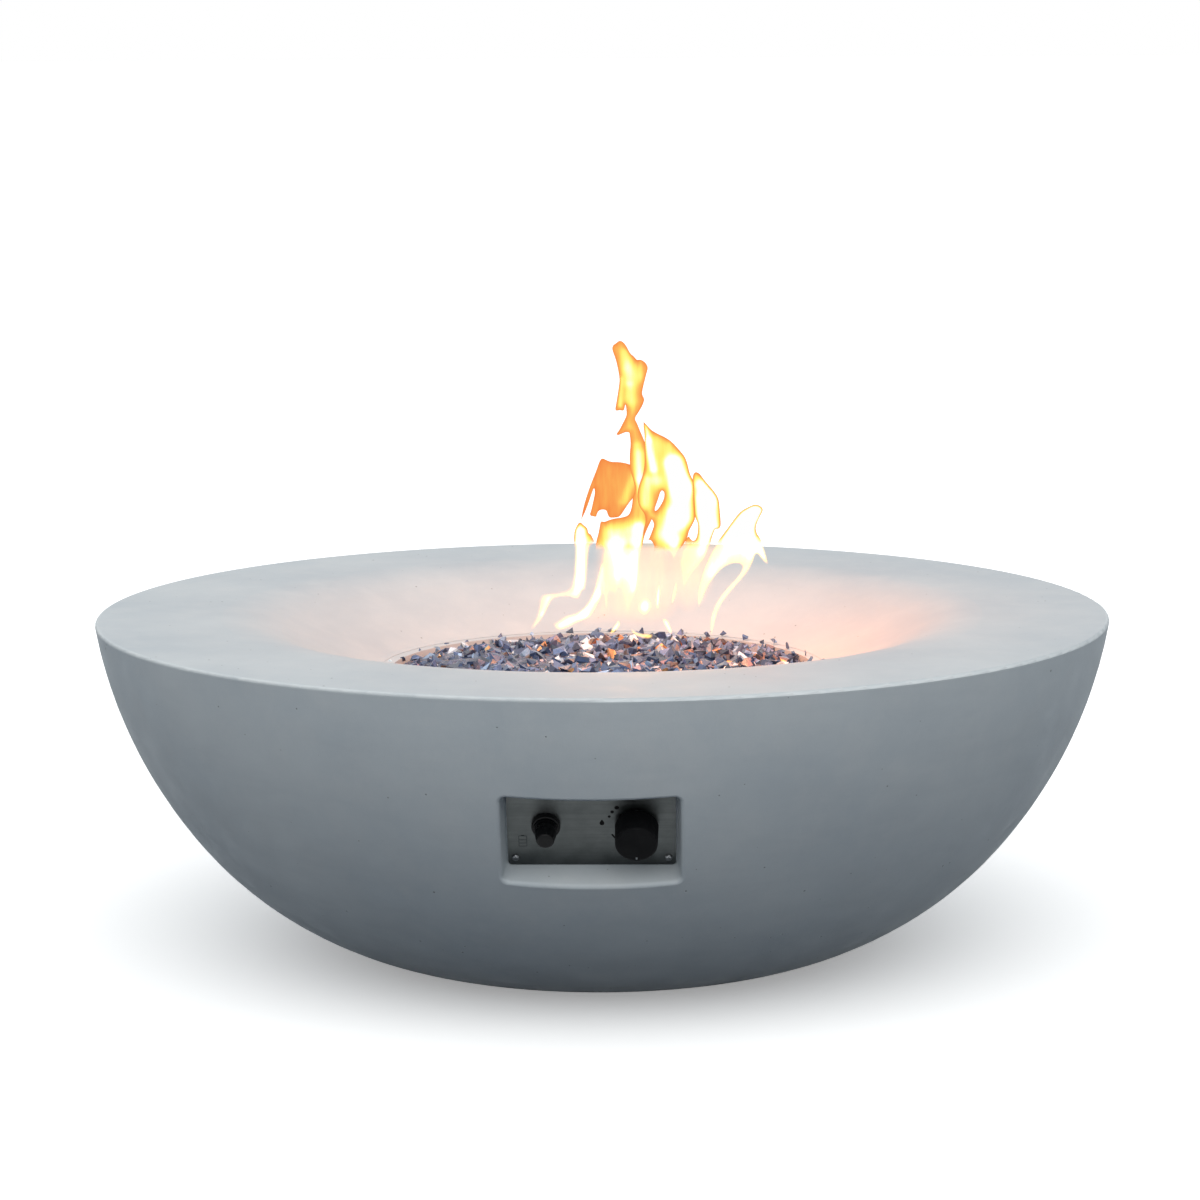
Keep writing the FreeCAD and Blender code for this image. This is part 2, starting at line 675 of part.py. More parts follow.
def soften_mouth(body):
    """Round the recess's mouth where it breaks through the wall."""
    doc.recompute()
    frame = frame_placement(ALONG_WALL).inverse()
    depth = number("Sizes.recess_depth")
    half_width = number("Layout.mouth_half_width")
    half_rise = number("Layout.mouth_half_rise")
    names = []
    for place, edge in enumerate(body.Shape.Edges, 1):
        ends = [frame.multVec(vertex.Point) for vertex in edge.Vertexes]
        near = all(abs(end.x) < half_width and abs(end.y) < half_rise for end in ends)
        if near and all(depth * 0.5 < end.z < depth for end in ends):
            names.append("Edge%d" % place)
    cut_bowl = body.Tip
    fillet = body.newObject("PartDesign::Fillet", "mouth_edge")
    fillet.Base = (cut_bowl, names)
    fillet.setExpression("Radius", "Sizes.recess_edge_radius")


def base_cover():
    body = new_body("base_cover")
    disc = sketch_on(body, "cover_disc", out="Sizes.cover_rebate_depth")
    circle(disc, "Layout.cover_radius")
    pad(body, disc, "Sizes.cover_thickness", back=True)
    hole = sketch_on(body, "cover_hole", out="Sizes.cover_rebate_depth")
    circle(hole, "Sizes.screw_radius + Sizes.screw_clearance", "Layout.cover_screw_circle")
    around(body, pocket(body, hole, "Sizes.cover_thickness * 2"), "Sizes.cover_screw_count")
    vent = sketch_on(body, "cover_vent", out="Sizes.cover_rebate_depth")
    rounded(vent, "(Layout.vent_outer - Layout.vent_inner) / 2", "Sizes.vent_width / 2",
            "Sizes.vent_width * Sizes.vent_corner_share", "(Layout.vent_outer + Layout.vent_inner) / 2")
    around(body, pocket(body, vent, "Sizes.cover_thickness * 2"), "Sizes.vent_count")
    return seat(body, UPRIGHT)


def cover_screws():
    screw = pan_head_screw()
    screw.rotate(FreeCAD.Vector(), FreeCAD.Vector(1, 0, 0), 180)
    count = int(number("Sizes.cover_screw_count"))
    reach = number("Layout.cover_screw_circle")
    under = number("Sizes.cover_rebate_depth - Sizes.cover_thickness")
    shapes = []
    for place in range(count):
        angle = 2 * math.pi * place / count
        spot = FreeCAD.Vector(reach * math.cos(angle), reach * math.sin(angle), under)
        shapes.append(placed(screw, FreeCAD.Placement(spot, FreeCAD.Rotation())))
    group("base_cover_screws", shapes)


# The control plate

def control_panel():
    body = new_body("control_panel")
    plate = sketch_on(body, "plate_outline")
    rounded(plate, "Sizes.plate_width / 2", "Sizes.plate_rise / 2", "Sizes.plate_corner_radius")
    pad(body, plate, "Sizes.plate_thickness")
    holes = sketch_on(body, "plate_holes")
    circle(holes, "Sizes.igniter_radius + Sizes.screw_clearance", "0 - Sizes.control_offset")
    circle(holes, "Sizes.spring_pocket_radius", "Sizes.control_offset")
    fit = "Sizes.screw_radius + Sizes.screw_clearance"
    for y in ("Sizes.valve_screw_offset", "0 - Sizes.valve_screw_offset"):
        circle(holes, fit, "Sizes.control_offset", y)
    for x in ("Layout.plate_screw_x", "0 - Layout.plate_screw_x"):
        for y in ("Layout.plate_screw_y", "0 - Layout.plate_screw_y"):
            circle(holes, fit, x, y)
    pocket(body, holes, "Sizes.plate_thickness * 2", forward=True)
    return seat(body, ALONG_WALL)


def panel_screws():
    screw = pan_head_screw()
    x, y = number("Layout.plate_screw_x"), number("Layout.plate_screw_y")
    face = number("Sizes.plate_thickness")
    spots = [(-x, -y), (x, -y), (x, y), (-x, y)]
    group("panel_screws", [placed(screw, frame_placement(ALONG_WALL, a, b, face)) for a, b in spots])
    x, y = number("Sizes.control_offset"), number("Sizes.valve_screw_offset")
    group("valve_screws", [placed(screw, frame_placement(ALONG_WALL, x, b, face)) for b in (-y, y)])


# The gas valve and its knob

def gas_valve():
    body = new_body("gas_valve")
    half = "Sizes.valve_block / 2"
    block = sketch_on(body, "valve_outline")
    rounded(block, half, half, "Sizes.valve_corner_radius")
    pad(body, block, "Sizes.valve_depth", back=True)
    boss = sketch_on(body, "valve_outlet_boss", out="0 - Sizes.valve_depth")
    circle(boss, "Sizes.valve_boss_radius")
    pad(body, boss, "Sizes.valve_boss_length", back=True)
    spigot = sketch_on(body, "valve_outlet", out="0 - Sizes.valve_depth - Sizes.valve_boss_length")
    circle(spigot, "Sizes.spigot_radius")
    pad(body, spigot, "Sizes.spigot_length", back=True)
    boss = sketch_on(body, "valve_inlet_boss", "XZ_Plane", out=half)
    circle(boss, "Sizes.valve_boss_radius", "0", "0 - Sizes.valve_inlet_depth")
    pad(body, boss, "Sizes.valve_boss_length")
    spigot = sketch_on(body, "valve_inlet", "XZ_Plane", out=half + " + Sizes.valve_boss_length")
    circle(spigot, "Sizes.spigot_radius", "0", "0 - Sizes.valve_inlet_depth")
    pad(body, spigot, "Sizes.spigot_length")
    port = sketch_on(body, "valve_sensor_port", "YZ_Plane", out="0 - " + half)
    circle(port, "Sizes.valve_port_radius", "0", "0 - Sizes.valve_inlet_depth")
    pad(body, port, "Sizes.valve_port_length", back=True)
    for name, radius, depth in (
            ("spring_pocket", "Sizes.spring_pocket_radius", "Sizes.spring_pocket_depth"),
            ("stem_bore", "Sizes.stem_radius + Sizes.running_gap",
             "Sizes.stem_tail + Sizes.knob_travel + Sizes.seat_gap * 2"),
            ("rod_bore", "Sizes.push_rod_radius + Sizes.running_gap",
             "Sizes.stem_tail + Sizes.push_rod_length + Sizes.knob_travel + 2")):
        bore = sketch_on(body, name)
        circle(bore, radius)
        pocket(body, bore, depth)
    threads = sketch_on(body, "valve_threads")
    for y in ("Sizes.valve_screw_offset", "0 - Sizes.valve_screw_offset"):
        circle(threads, "Sizes.screw_radius + Sizes.screw_clearance", "0", y)
    pocket(body, threads, "Sizes.screw_length")
    return seat(body, ALONG_WALL, "Sizes.control_offset")


def valve_stem():
    stem, collar = "Sizes.stem_radius", "Sizes.stem_collar_radius"
    low, high = "Sizes.seat_gap", "Sizes.seat_gap + Sizes.stem_collar_thickness"
    body = turned("valve_stem", [
        ("0", "0 - Sizes.stem_tail"), (stem, "0 - Sizes.stem_tail"), (stem, low), (collar, low),
        (collar, high), (stem, high), (stem, "Sizes.stem_reach"), ("0", "Sizes.stem_reach")],
        ALONG_WALL, "Sizes.control_offset")
    flat = sketch_on(body, "stem_flat", out="Sizes.knob_hub_back")
    rectangle(flat, stem + " - Sizes.stem_flat", stem + " + 1", "0 - %s - 1" % stem, stem + " + 1")
    pocket(body, flat, "Sizes.stem_reach", forward=True)
    return body


def push_rod():
    rod_start = "0 - Sizes.stem_tail - Sizes.seat_gap - Sizes.push_rod_length"
    keep(rod("valve_push_rod", "Sizes.push_rod_radius", rod_start, "Sizes.push_rod_length", ALONG_WALL,
             "Sizes.control_offset"), "valve_push_rod")


def spring(label, inner, outer, start, end, x):
    """A closed coil spring, as the plain sleeve that it fills."""
    return turned(label, [(inner, start), (outer, start), (outer, end), (inner, end)], ALONG_WALL, x)


def control_knob():
    back, front = "Sizes.knob_back", "Sizes.knob_back + Sizes.knob_length"
    edge = "Sizes.knob_edge_radius"
    hollow = "Sizes.knob_radius - Sizes.knob_skirt"
    roof = "Sizes.knob_back + Sizes.knob_hollow_depth"
    bore = "Sizes.stem_radius + Sizes.screw_clearance"
    body = turned("control_knob", [
        (bore, "Sizes.knob_hub_back"), ("Sizes.knob_hub_radius", "Sizes.knob_hub_back"),
        ("Sizes.knob_hub_radius", roof), (hollow, roof), (hollow, back), ("Sizes.knob_radius", back),
        ("Sizes.knob_front_radius", "%s - %s" % (front, edge), edge, "left"),
        ("Sizes.knob_front_radius - " + edge, front), ("0", front),
        ("0", "Sizes.stem_reach + Sizes.seat_gap"), (bore, "Sizes.stem_reach + Sizes.seat_gap")],
        ALONG_WALL, "Sizes.control_offset")
    key = sketch_on(body, "knob_key", out="Sizes.knob_hub_back")
    face = "Sizes.stem_radius - Sizes.stem_flat + Sizes.screw_clearance"
    rectangle(key, face, "Layout.knob_key_reach", "0 - Layout.knob_key_side", "Layout.knob_key_side")
    pad(body, key, "Sizes.stem_reach - Sizes.knob_hub_back + Sizes.seat_gap + 1")
    mark = sketch_on(body, "knob_pointer", out=front)
    rectangle(mark, "0 - Sizes.pointer_width / 2", "Sizes.pointer_width / 2",
              "0 - Sizes.knob_front_radius - 1", "0 - Layout.knob_mark_start")
    pocket(body, mark, "Sizes.pointer_depth")
    return body


# The igniter

def igniter():
    side = "0 - Sizes.control_offset"
    radius, bore = "Sizes.igniter_radius", "Sizes.igniter_bore_radius"
    flange = "Sizes.igniter_flange_radius"
    tail = "0 - Sizes.igniter_depth"
    skirt = "Sizes.button_skirt_radius"
    guide = skirt + " + Sizes.running_gap"
    stop = "Sizes.button_skirt_end - Sizes.button_travel - Sizes.seat_gap"
    terminal = "Sizes.igniter_terminal_radius"
    terminal_end = tail + " - Sizes.igniter_terminal_length"
    floor = tail + " + Sizes.igniter_floor"
    under = "0 - Sizes.igniter_flange_thickness"
    turned("igniter_body", [
        ("0", terminal_end), (terminal, terminal_end), (terminal, tail), (radius, tail), (radius, under),
        (flange, under), (flange, "0"), (radius, "0"),
        (radius, "Sizes.igniter_front"), (guide, "Sizes.igniter_front"), (guide, stop), (bore, stop),
        (bore, floor), ("0", floor)], ALONG_WALL, side)
    nut, face = "Sizes.igniter_nut_radius", "Sizes.plate_thickness"
    top = "Sizes.plate_thickness + Sizes.igniter_nut_thickness"
    hole = radius + " + Sizes.screw_clearance"
    edge = "Sizes.igniter_nut_edge_radius"
    turned("igniter_nut", [
        (hole, face), (nut, face), (nut, "%s - %s" % (top, edge), edge, "left"),
        ("%s - %s" % (nut, edge), top), (hole, top)], ALONG_WALL, side)
    head = "Sizes.igniter_front + Sizes.button_travel + Sizes.seat_gap"
    band = head + " + Sizes.button_band"
    tip, front = "Sizes.button_tip_radius", "Sizes.button_front"
    turned("igniter_button", [
        ("0", "Sizes.button_skirt_end"), (skirt, "Sizes.button_skirt_end"), (skirt, head),
        ("Sizes.button_radius", head), ("Sizes.button_radius", band),
        (tip, front + " - Sizes.button_edge_radius", "Sizes.button_edge_radius", "left"),
        (tip + " - Sizes.button_edge_radius", front), ("0", front)], ALONG_WALL, side)
    cell, start = "Sizes.battery_radius", "0 - Sizes.battery_start"
    nub = "Sizes.battery_nub_radius"
    end = "0 - Sizes.battery_start - Sizes.battery_length"
    turned("igniter_battery", [
        ("0", end), (cell, end), (cell, start + " - Sizes.battery_nub_length"),
        (nub, start + " - Sizes.battery_nub_length"), (nub, start), ("0", start)], ALONG_WALL, side)
    inner, outer = nub + " + Sizes.spring_clearance", nub + " + Sizes.spring_clearance + Sizes.spring_wall"
    near = " + Sizes.spring_end_gap"
    far = " - Sizes.spring_end_gap"
    spring("igniter_button_spring", inner, outer, start + " - Sizes.battery_nub_length" + near,
           "Sizes.button_skirt_end" + far, side)
    spring("igniter_contact_spring", "Sizes.contact_spring_radius - Sizes.spring_wall",
           "Sizes.contact_spring_radius", floor + near, end + far, side)


# The burner

def burner_pan():
    inner, outer = "Layout.pan_radius - Sizes.pan_sheet", "Layout.pan_radius"
    bend, sheet = "Sizes.pan_bend_radius", "Sizes.pan_sheet"
    hole = "Sizes.nipple_radius + Sizes.seat_gap"
    body = turned("burner_pan", [
        (hole, "Layout.pan_under"),
        ("%s - %s - %s" % (outer, bend, sheet), "Layout.pan_under", "%s + %s" % (bend, sheet), "left"),
        (outer, "Layout.pan_under + %s + %s" % (bend, sheet)), (outer, "Layout.ledge_height"),
        ("Layout.pan_flange", "Layout.ledge_height"), ("Layout.pan_flange", "Layout.pan_rim"),
        (inner, "Layout.pan_rim"), (inner, "Layout.pan_floor + " + bend, bend, "right"),
        ("%s - %s" % (inner, bend), "Layout.pan_floor"), (hole, "Layout.pan_floor")])
    drain = sketch_on(body, "pan_drain", out="Layout.pan_floor")
    circle(drain, "Sizes.drain_radius", "Layout.drain_circle")
    around(body, pocket(body, drain, "Sizes.pan_sheet * 2"), "Sizes.drain_count")
    pilot = sketch_on(body, "pan_pilot_holes", out="Layout.pan_floor")
    pilot_holes(pilot)
    pocket(body, pilot, "Sizes.pan_sheet * 2")
    return body


def pilot_holes(sketch):
    """The holes that the electrode, the thermocouple and two screws need."""
    left = "0 - Sizes.pilot_side - Sizes.pilot_spacing / 2"
    right = "0 - Sizes.pilot_side + Sizes.pilot_spacing / 2"
    front = "0 - Sizes.pilot_front"
    circle(sketch, "Sizes.electrode_radius + Sizes.screw_clearance", left, front)
    circle(sketch, "Sizes.thermocouple_radius + Sizes.screw_clearance", right, front)
    for side in ("-", "+"):
        x = "0 - Sizes.pilot_side %s (Sizes.bracket_length / 2 - Sizes.bracket_screw_inset)" % side
        circle(sketch, "Sizes.screw_radius + Sizes.screw_clearance", x, front)


def burner_ring():
    pieces = []
    for name, radius in (("outer_ring", "Sizes.outer_ring_radius"),
                         ("inner_ring", "Sizes.inner_ring_radius")):
        ring = doc.addObject("Part::Torus", name)
        bind(ring, Radius1=radius, Radius2="Sizes.ring_tube_radius")
        pieces.append(seat(ring, UPRIGHT, z="Layout.ring_height"))
    for name, angle in (("spoke_a", 45), ("spoke_b", 135)):
        spoke = doc.addObject("Part::Cylinder", name)
        bind(spoke, Radius="Sizes.ring_tube_radius * Sizes.spoke_share", Height="Sizes.outer_ring_radius * 2")
        turn = FreeCAD.Rotation(FreeCAD.Vector(0, 0, 1), angle)
        turn = turn.multiply(FreeCAD.Rotation(FreeCAD.Vector(0, 1, 0), 90))
        spoke.Placement = FreeCAD.Placement(FreeCAD.Vector(), turn)
        spoke.setExpression("Placement.Base.x", "0 - Sizes.outer_ring_radius * cos(%d)" % angle)
        spoke.setExpression("Placement.Base.y", "0 - Sizes.outer_ring_radius * sin(%d)" % angle)
        spoke.setExpression("Placement.Base.z", "Layout.ring_height")
        pieces.append(spoke)
    pieces.append(rod("burner_hub", "Sizes.hub_radius", "Layout.pan_floor", "Sizes.hub_thickness"))
    pieces.append(rod("burner_nipple", "Sizes.nipple_radius", "Layout.nipple_end", "Sizes.nipple_length + 1"))
    frame = fuse("burner_frame", pieces)
    ways = doc.addObject("Part::Feature", "burner_ways")
    ways.Shape = Part.makeCompound(burner_drillings())
    keep(cut("burner_ring", frame, ways), "burner_ring")


def burner_drillings():
    """The flame ports on both rings, and the gas way up the nipple."""
    height = number("Layout.ring_height")
    tube = number("Sizes.ring_tube_radius")
    port, depth = number("Sizes.port_radius"), number("Sizes.port_depth")
    drills = []
    for radius, count in (("Sizes.outer_ring_radius", "Sizes.outer_port_count"),
                          ("Sizes.inner_ring_radius", "Sizes.inner_port_count")):
        number_of = int(number(count))
        for place in range(number_of):
            angle = 2 * math.pi * (place + 0.5) / number_of
            spot = FreeCAD.Vector(number(radius) * math.cos(angle), number(radius) * math.sin(angle),
                                  height + tube - depth)
            drills.append(Part.makeCylinder(port, depth * 2, spot))
    bottom = FreeCAD.Vector(0, 0, number("Layout.nipple_end") - 1)
    way = number("Sizes.nipple_length + Sizes.ring_rise")
    drills.append(Part.makeCylinder(number("Sizes.nipple_bore_radius"), way, bottom))
    return drills


def lock_nut(label, flats, start, length, bore, frame=UPRIGHT):
    blank = hexagon(label + "_blank", flats, start, length, frame)
    hole = rod(label + "_hole", bore, "(%s) - 1" % start, "(%s) + 2" % length, frame)
    return keep(cut(label, blank, hole), label)


def fire_glass():
    """The heaped glass in the pan, cleared round the burner and the spark shield."""
    floor, clear = "Layout.pan_floor", "Layout.pan_floor + Layout.ring_clear"
    half = "Sizes.ring_tube_radius + Sizes.glass_gap"
    hub = "Sizes.hub_radius + Sizes.glass_gap"
    hub_top = "Layout.pan_floor + Sizes.hub_thickness + Sizes.seat_gap"
    inner, outer = "Sizes.inner_ring_radius", "Sizes.outer_ring_radius"
    bend = "Sizes.pan_bend_radius"
    edge = "Layout.glass_radius"
    bed = turned("glass_bed", [
        ("0", hub_top), (hub, hub_top), (hub, floor),
        ("%s - (%s)" % (inner, half), floor), ("%s - (%s)" % (inner, half), clear),
        ("%s + %s" % (inner, half), clear), ("%s + %s" % (inner, half), floor),
        ("%s - (%s)" % (outer, half), floor), ("%s - (%s)" % (outer, half), clear),
        ("%s + %s" % (outer, half), clear), ("%s + %s" % (outer, half), floor),
        ("%s - %s" % (edge, bend), floor), (edge, "%s + %s" % (floor, bend)),
        (edge, "Layout.glass_bed"), ("0", "Layout.glass_bed")])
    parts.remove(bed)
    bar = sketch_on(bed, "glass_spoke", out=floor)
    bar.AttachmentOffset = FreeCAD.Placement(FreeCAD.Vector(), FreeCAD.Rotation(FreeCAD.Vector(0, 0, 1), 45))
    bar.setExpression("AttachmentOffset.Base.z", floor)
    rectangle(bar, "0 - " + outer, outer, "0 - (%s)" % half, half)
    around(bed, pocket(bed, bar, "Layout.ring_clear", forward=True), "2", "90")
    heap = doc.addObject("Part::Feature", "glass_heap")
    heap.Shape = heaped_facets()
    x, y = "Sizes.shield_length / 2 + Sizes.glass_gap", "Sizes.shield_width / 2 + Sizes.glass_gap"
    cage = doc.addObject("Part::Box", "glass_cage")
    bind(cage, Length="(%s) * 2" % x, Width="(%s) * 2" % y, Height="Sizes.shield_rise + Sizes.seat_gap")
    seat(cage, UPRIGHT, "0 - Sizes.pilot_side - (%s)" % x, "0 - Sizes.pilot_front - (%s)" % y, floor)
    keep(cut("fire_glass", fuse("glass_whole", [bed, heap]), cage), "fire_glass")


def heaped_facets():
    """The broken top of the heap: flat facets between points set out in rings and knocked
    off true, lowest at the pan's rim, with a flat underside sunk in the bed."""
    chance = random.Random(5)
    reach = number("Layout.glass_radius - Sizes.glass_gap")
    rings = round(reach / number("Sizes.glass_pitch"))
    pitch = reach / rings
    edge = number("Layout.pan_rim - Sizes.glass_sink")
    crown = number("Sizes.glass_crown + Sizes.glass_sink")
    relief, scatter = number("Sizes.glass_relief"), number("Sizes.glass_scatter")
    points = [[FreeCAD.Vector(0, 0, edge + crown)]]
    for ring in range(1, rings + 1):
        last = ring == rings
        loose = 0 if last else scatter
        spots = []
        for place in range(6 * ring):
            radius = ring * pitch + chance.uniform(-loose, loose) * pitch
            angle = 2 * math.pi * (place + chance.uniform(-loose, loose)) / (6 * ring)
            height = edge + crown * (1 - (radius / reach) ** 2)
            height += chance.uniform(-relief, relief) * (scatter if last else 1)
            spots.append(FreeCAD.Vector(radius * math.cos(angle), radius * math.sin(angle), height))
        points.append(spots)
    loops = []
    for ring in range(rings):
        inner, outer = points[ring], points[ring + 1]
        for side in range(6):
            for place in range(ring + 1):
                near = inner[(side * ring + place) % len(inner)]
                first = outer[side * (ring + 1) + place]
                second = outer[(side * (ring + 1) + place + 1) % len(outer)]
                loops.append([near, first, second])
                if place < ring:
                    loops.append([near, second, inner[(side * ring + place + 1) % len(inner)]])
    under = number("Layout.glass_bed - Sizes.glass_overlap")
    foot = [FreeCAD.Vector(spot.x, spot.y, under) for spot in points[-1]]
    for place, spot in enumerate(points[-1]):
        after = (place + 1) % len(foot)
        loops.append([spot, foot[place], foot[after], points[-1][after]])
    loops.append(foot)
    skin = Part.Shell([Part.Face(Part.makePolygon(loop + loop[:1])) for loop in loops])
    skin.sewShape()
    return Part.Solid(skin)


# Mixer, air shutter and orifice elbow

def air_slots(body, name, width, length):
    """Two windows that face each other, straight through the tube."""
    slot = sketch_on(body, name, "XZ_Plane", out="Sizes.slot_cut")
    rounded(slot, width + " / 2", length + " / 2", width + " * Sizes.slot_corner_share", "0",
            "Layout.slot_height")
    pocket(body, slot, "Sizes.slot_cut * 2")


def air_mixer():
    top, end = "Layout.mixer_top", "Layout.mixer_end"
    wall, bore = "Sizes.mixer_radius", "Sizes.mixer_bore_radius"
    socket = "Sizes.nipple_radius + Sizes.screw_clearance"
    collar, lip = "Sizes.mixer_collar_radius", "Layout.mixer_end + Sizes.mixer_collar_thickness"
    shank = "Sizes.orifice_shank_radius + Sizes.screw_clearance"
    body = turned("air_mixer", [
        (shank, end), (collar, end), (collar, lip), (wall, lip), (wall, top), (socket, top),
        (socket, "Layout.nipple_end - Sizes.seat_gap"), (bore, "Layout.nipple_end - Sizes.seat_gap"),
        (bore, end + " + Sizes.mixer_floor"), (shank, end + " + Sizes.mixer_floor")])
    air_slots(body, "mixer_slot", "Sizes.window_slot_width", "Sizes.window_slot_length")
    return body


def air_shutter():
    inner = "Sizes.mixer_radius + Sizes.running_gap"
    outer = "Sizes.mixer_radius + Sizes.running_gap + Sizes.shutter_wall"
    low, high = "Layout.shutter_start", "Layout.shutter_start + Sizes.shutter_length"
    body = turned("air_shutter", [(inner, low), (outer, low), (outer, high), (inner, high)])
    air_slots(body, "shutter_slot", "(Sizes.window_slot_width + 1)", "(Sizes.window_slot_length + 1)")
    return body


def orifice_elbow():
    body = new_body("orifice_elbow")
    half = "Sizes.elbow_block / 2"
    block = sketch_on(body, "elbow_outline", out="Layout.mixer_end - Sizes.elbow_block")
    rounded(block, half, half, "Sizes.elbow_edge_radius")
    pad(body, block, "Sizes.elbow_block")
    shank = sketch_on(body, "elbow_shank", out="Layout.mixer_end")
    circle(shank, "Sizes.orifice_shank_radius")
    pad(body, shank, "Sizes.orifice_shank_length")
    spigot = sketch_on(body, "elbow_spigot", "XZ_Plane", out=half)
    circle(spigot, "Sizes.spigot_radius", "0", "Layout.elbow_height")
    pad(body, spigot, "Sizes.spigot_length")
    jet = sketch_on(body, "elbow_jet", out="Layout.mixer_end + Sizes.orifice_shank_length")
    circle(jet, "Sizes.port_radius")
    pocket(body, jet, "Sizes.orifice_shank_length + Sizes.elbow_block / 2")
    way = sketch_on(body, "elbow_way", "XZ_Plane", out=half + " + Sizes.spigot_length")
    circle(way, "Sizes.spigot_bore_radius", "0", "Layout.elbow_height")
    pocket(body, way, half + " + Sizes.spigot_length")
    return seat(body, UPRIGHT)


# The rear gas inlet

def gas_inlet():
    seat_out = "0 - Sizes.inlet_spotface_depth"
    nose = seat_out + " + Sizes.inlet_flange_thickness"
    inner = "1 - Sizes.shell_wall - Sizes.inlet_nut_thickness - 2"
    spigot, bore = "Sizes.spigot_radius", "Sizes.spigot_bore_radius"
    tip = nose + " + Sizes.spigot_length"
    tail = inner + " - Sizes.spigot_length"
    nose_tip = tip + " + Sizes.spigot_nose"
    shank = "Sizes.inlet_shank_radius"
    stem = turned("gas_inlet_stem", [
        (bore, tail), (spigot, tail), (spigot, inner), (shank, inner), (shank, nose), (spigot, nose),
        (spigot, tip), (bore + " + Sizes.spigot_lip", nose_tip), (bore, nose_tip)], REAR_WALL)
    parts.remove(stem)
    flange = hexagon("gas_inlet_hex", "Sizes.inlet_flats", seat_out, "Sizes.inlet_flange_thickness",
                     REAR_WALL)
    hole = rod("gas_inlet_core", "Sizes.inlet_shank_radius - 0.5", "0 - 20", "40", REAR_WALL)
    keep(fuse("gas_inlet", [stem, cut("gas_inlet_collar", flange, hole)]), "gas_inlet")
    lock_nut("gas_inlet_nut", "Sizes.inlet_nut_flats", "1 - Sizes.shell_wall - Sizes.inlet_nut_thickness",
             "Sizes.inlet_nut_thickness", "Sizes.inlet_shank_radius + Sizes.screw_clearance", REAR_WALL)


# Spark electrode, thermocouple and shield

def pilot_bracket():
    body = new_body("pilot_bracket")
    plate = sketch_on(body, "bracket_outline", out="Layout.pan_floor")
    rounded(plate, "Sizes.bracket_length / 2", "Sizes.bracket_width / 2", "Sizes.bracket_corner_radius",
            "0 - Sizes.pilot_side", "0 - Sizes.pilot_front")
    pad(body, plate, "Sizes.bracket_thickness")
    holes = sketch_on(body, "bracket_holes", out="Layout.pan_floor")
    pilot_holes(holes)
    pocket(body, holes, "Sizes.bracket_thickness * 2", forward=True)
    return seat(body, UPRIGHT)


def pilot_spot(side, z):
    x = number("0 - Sizes.pilot_side %s Sizes.pilot_spacing / 2" % side)
    return FreeCAD.Vector(x, -number("Sizes.pilot_front"), number(z))


def pilot_pieces():
    rise = "Layout.pan_floor + Sizes.bracket_thickness"
    radius, collar = "Sizes.electrode_radius", "Sizes.electrode_collar_radius"
    left = "0 - Sizes.pilot_side - Sizes.pilot_spacing / 2"
    right = "0 - Sizes.pilot_side + Sizes.pilot_spacing / 2"
    front = "0 - Sizes.pilot_front"
    high = rise + " + Sizes.electrode_collar_thickness"
    top, low = "Layout.pan_floor + Sizes.electrode_rise", "Layout.pan_floor - Sizes.electrode_drop"
    body = turned("spark_electrode", [
        ("0", low), (radius, low), (radius, rise), (collar, rise), (collar, high), (radius, high),
        (radius, top + " - 2"), (radius + " - 1.2", top), ("0", top)])
    seat(body, UPRIGHT, left, front)
    spot = pilot_spot("-", top)
    reach, lift = number("Sizes.pin_reach"), number("Sizes.pin_rise")
    bend = FreeCAD.Vector(spot.x, spot.y, spot.z + lift)
    tip = bend + FreeCAD.Vector(reach, 0, lift * 0.4)
    bent_tube("electrode_pin", "Sizes.pin_radius", [spot, bend, tip])
    radius, collar = "Sizes.thermocouple_radius", "Sizes.thermocouple_collar_radius"
    high = rise + " + Sizes.electrode_collar_thickness"
    top, low = "Layout.pan_floor + Sizes.thermocouple_rise", "Layout.pan_floor - Sizes.thermocouple_drop"
    body = turned("thermocouple", [
        ("0", low), (radius, low), (radius, rise), (collar, rise), (collar, high), (radius, high),
        (radius, top + " - 2"), (radius + " - 1", top), ("0", top)])
    seat(body, UPRIGHT, right, front)
    screw = pan_head_screw()
    x, y, z = number("Sizes.pilot_side"), number("Sizes.pilot_front"), number(rise)
    away = number("Sizes.bracket_length / 2 - Sizes.bracket_screw_inset")
    spots = [FreeCAD.Vector(-x - away, -y, z), FreeCAD.Vector(-x + away, -y, z)]
    group("bracket_screws", [placed(screw, FreeCAD.Placement(spot, FreeCAD.Rotation())) for spot in spots])


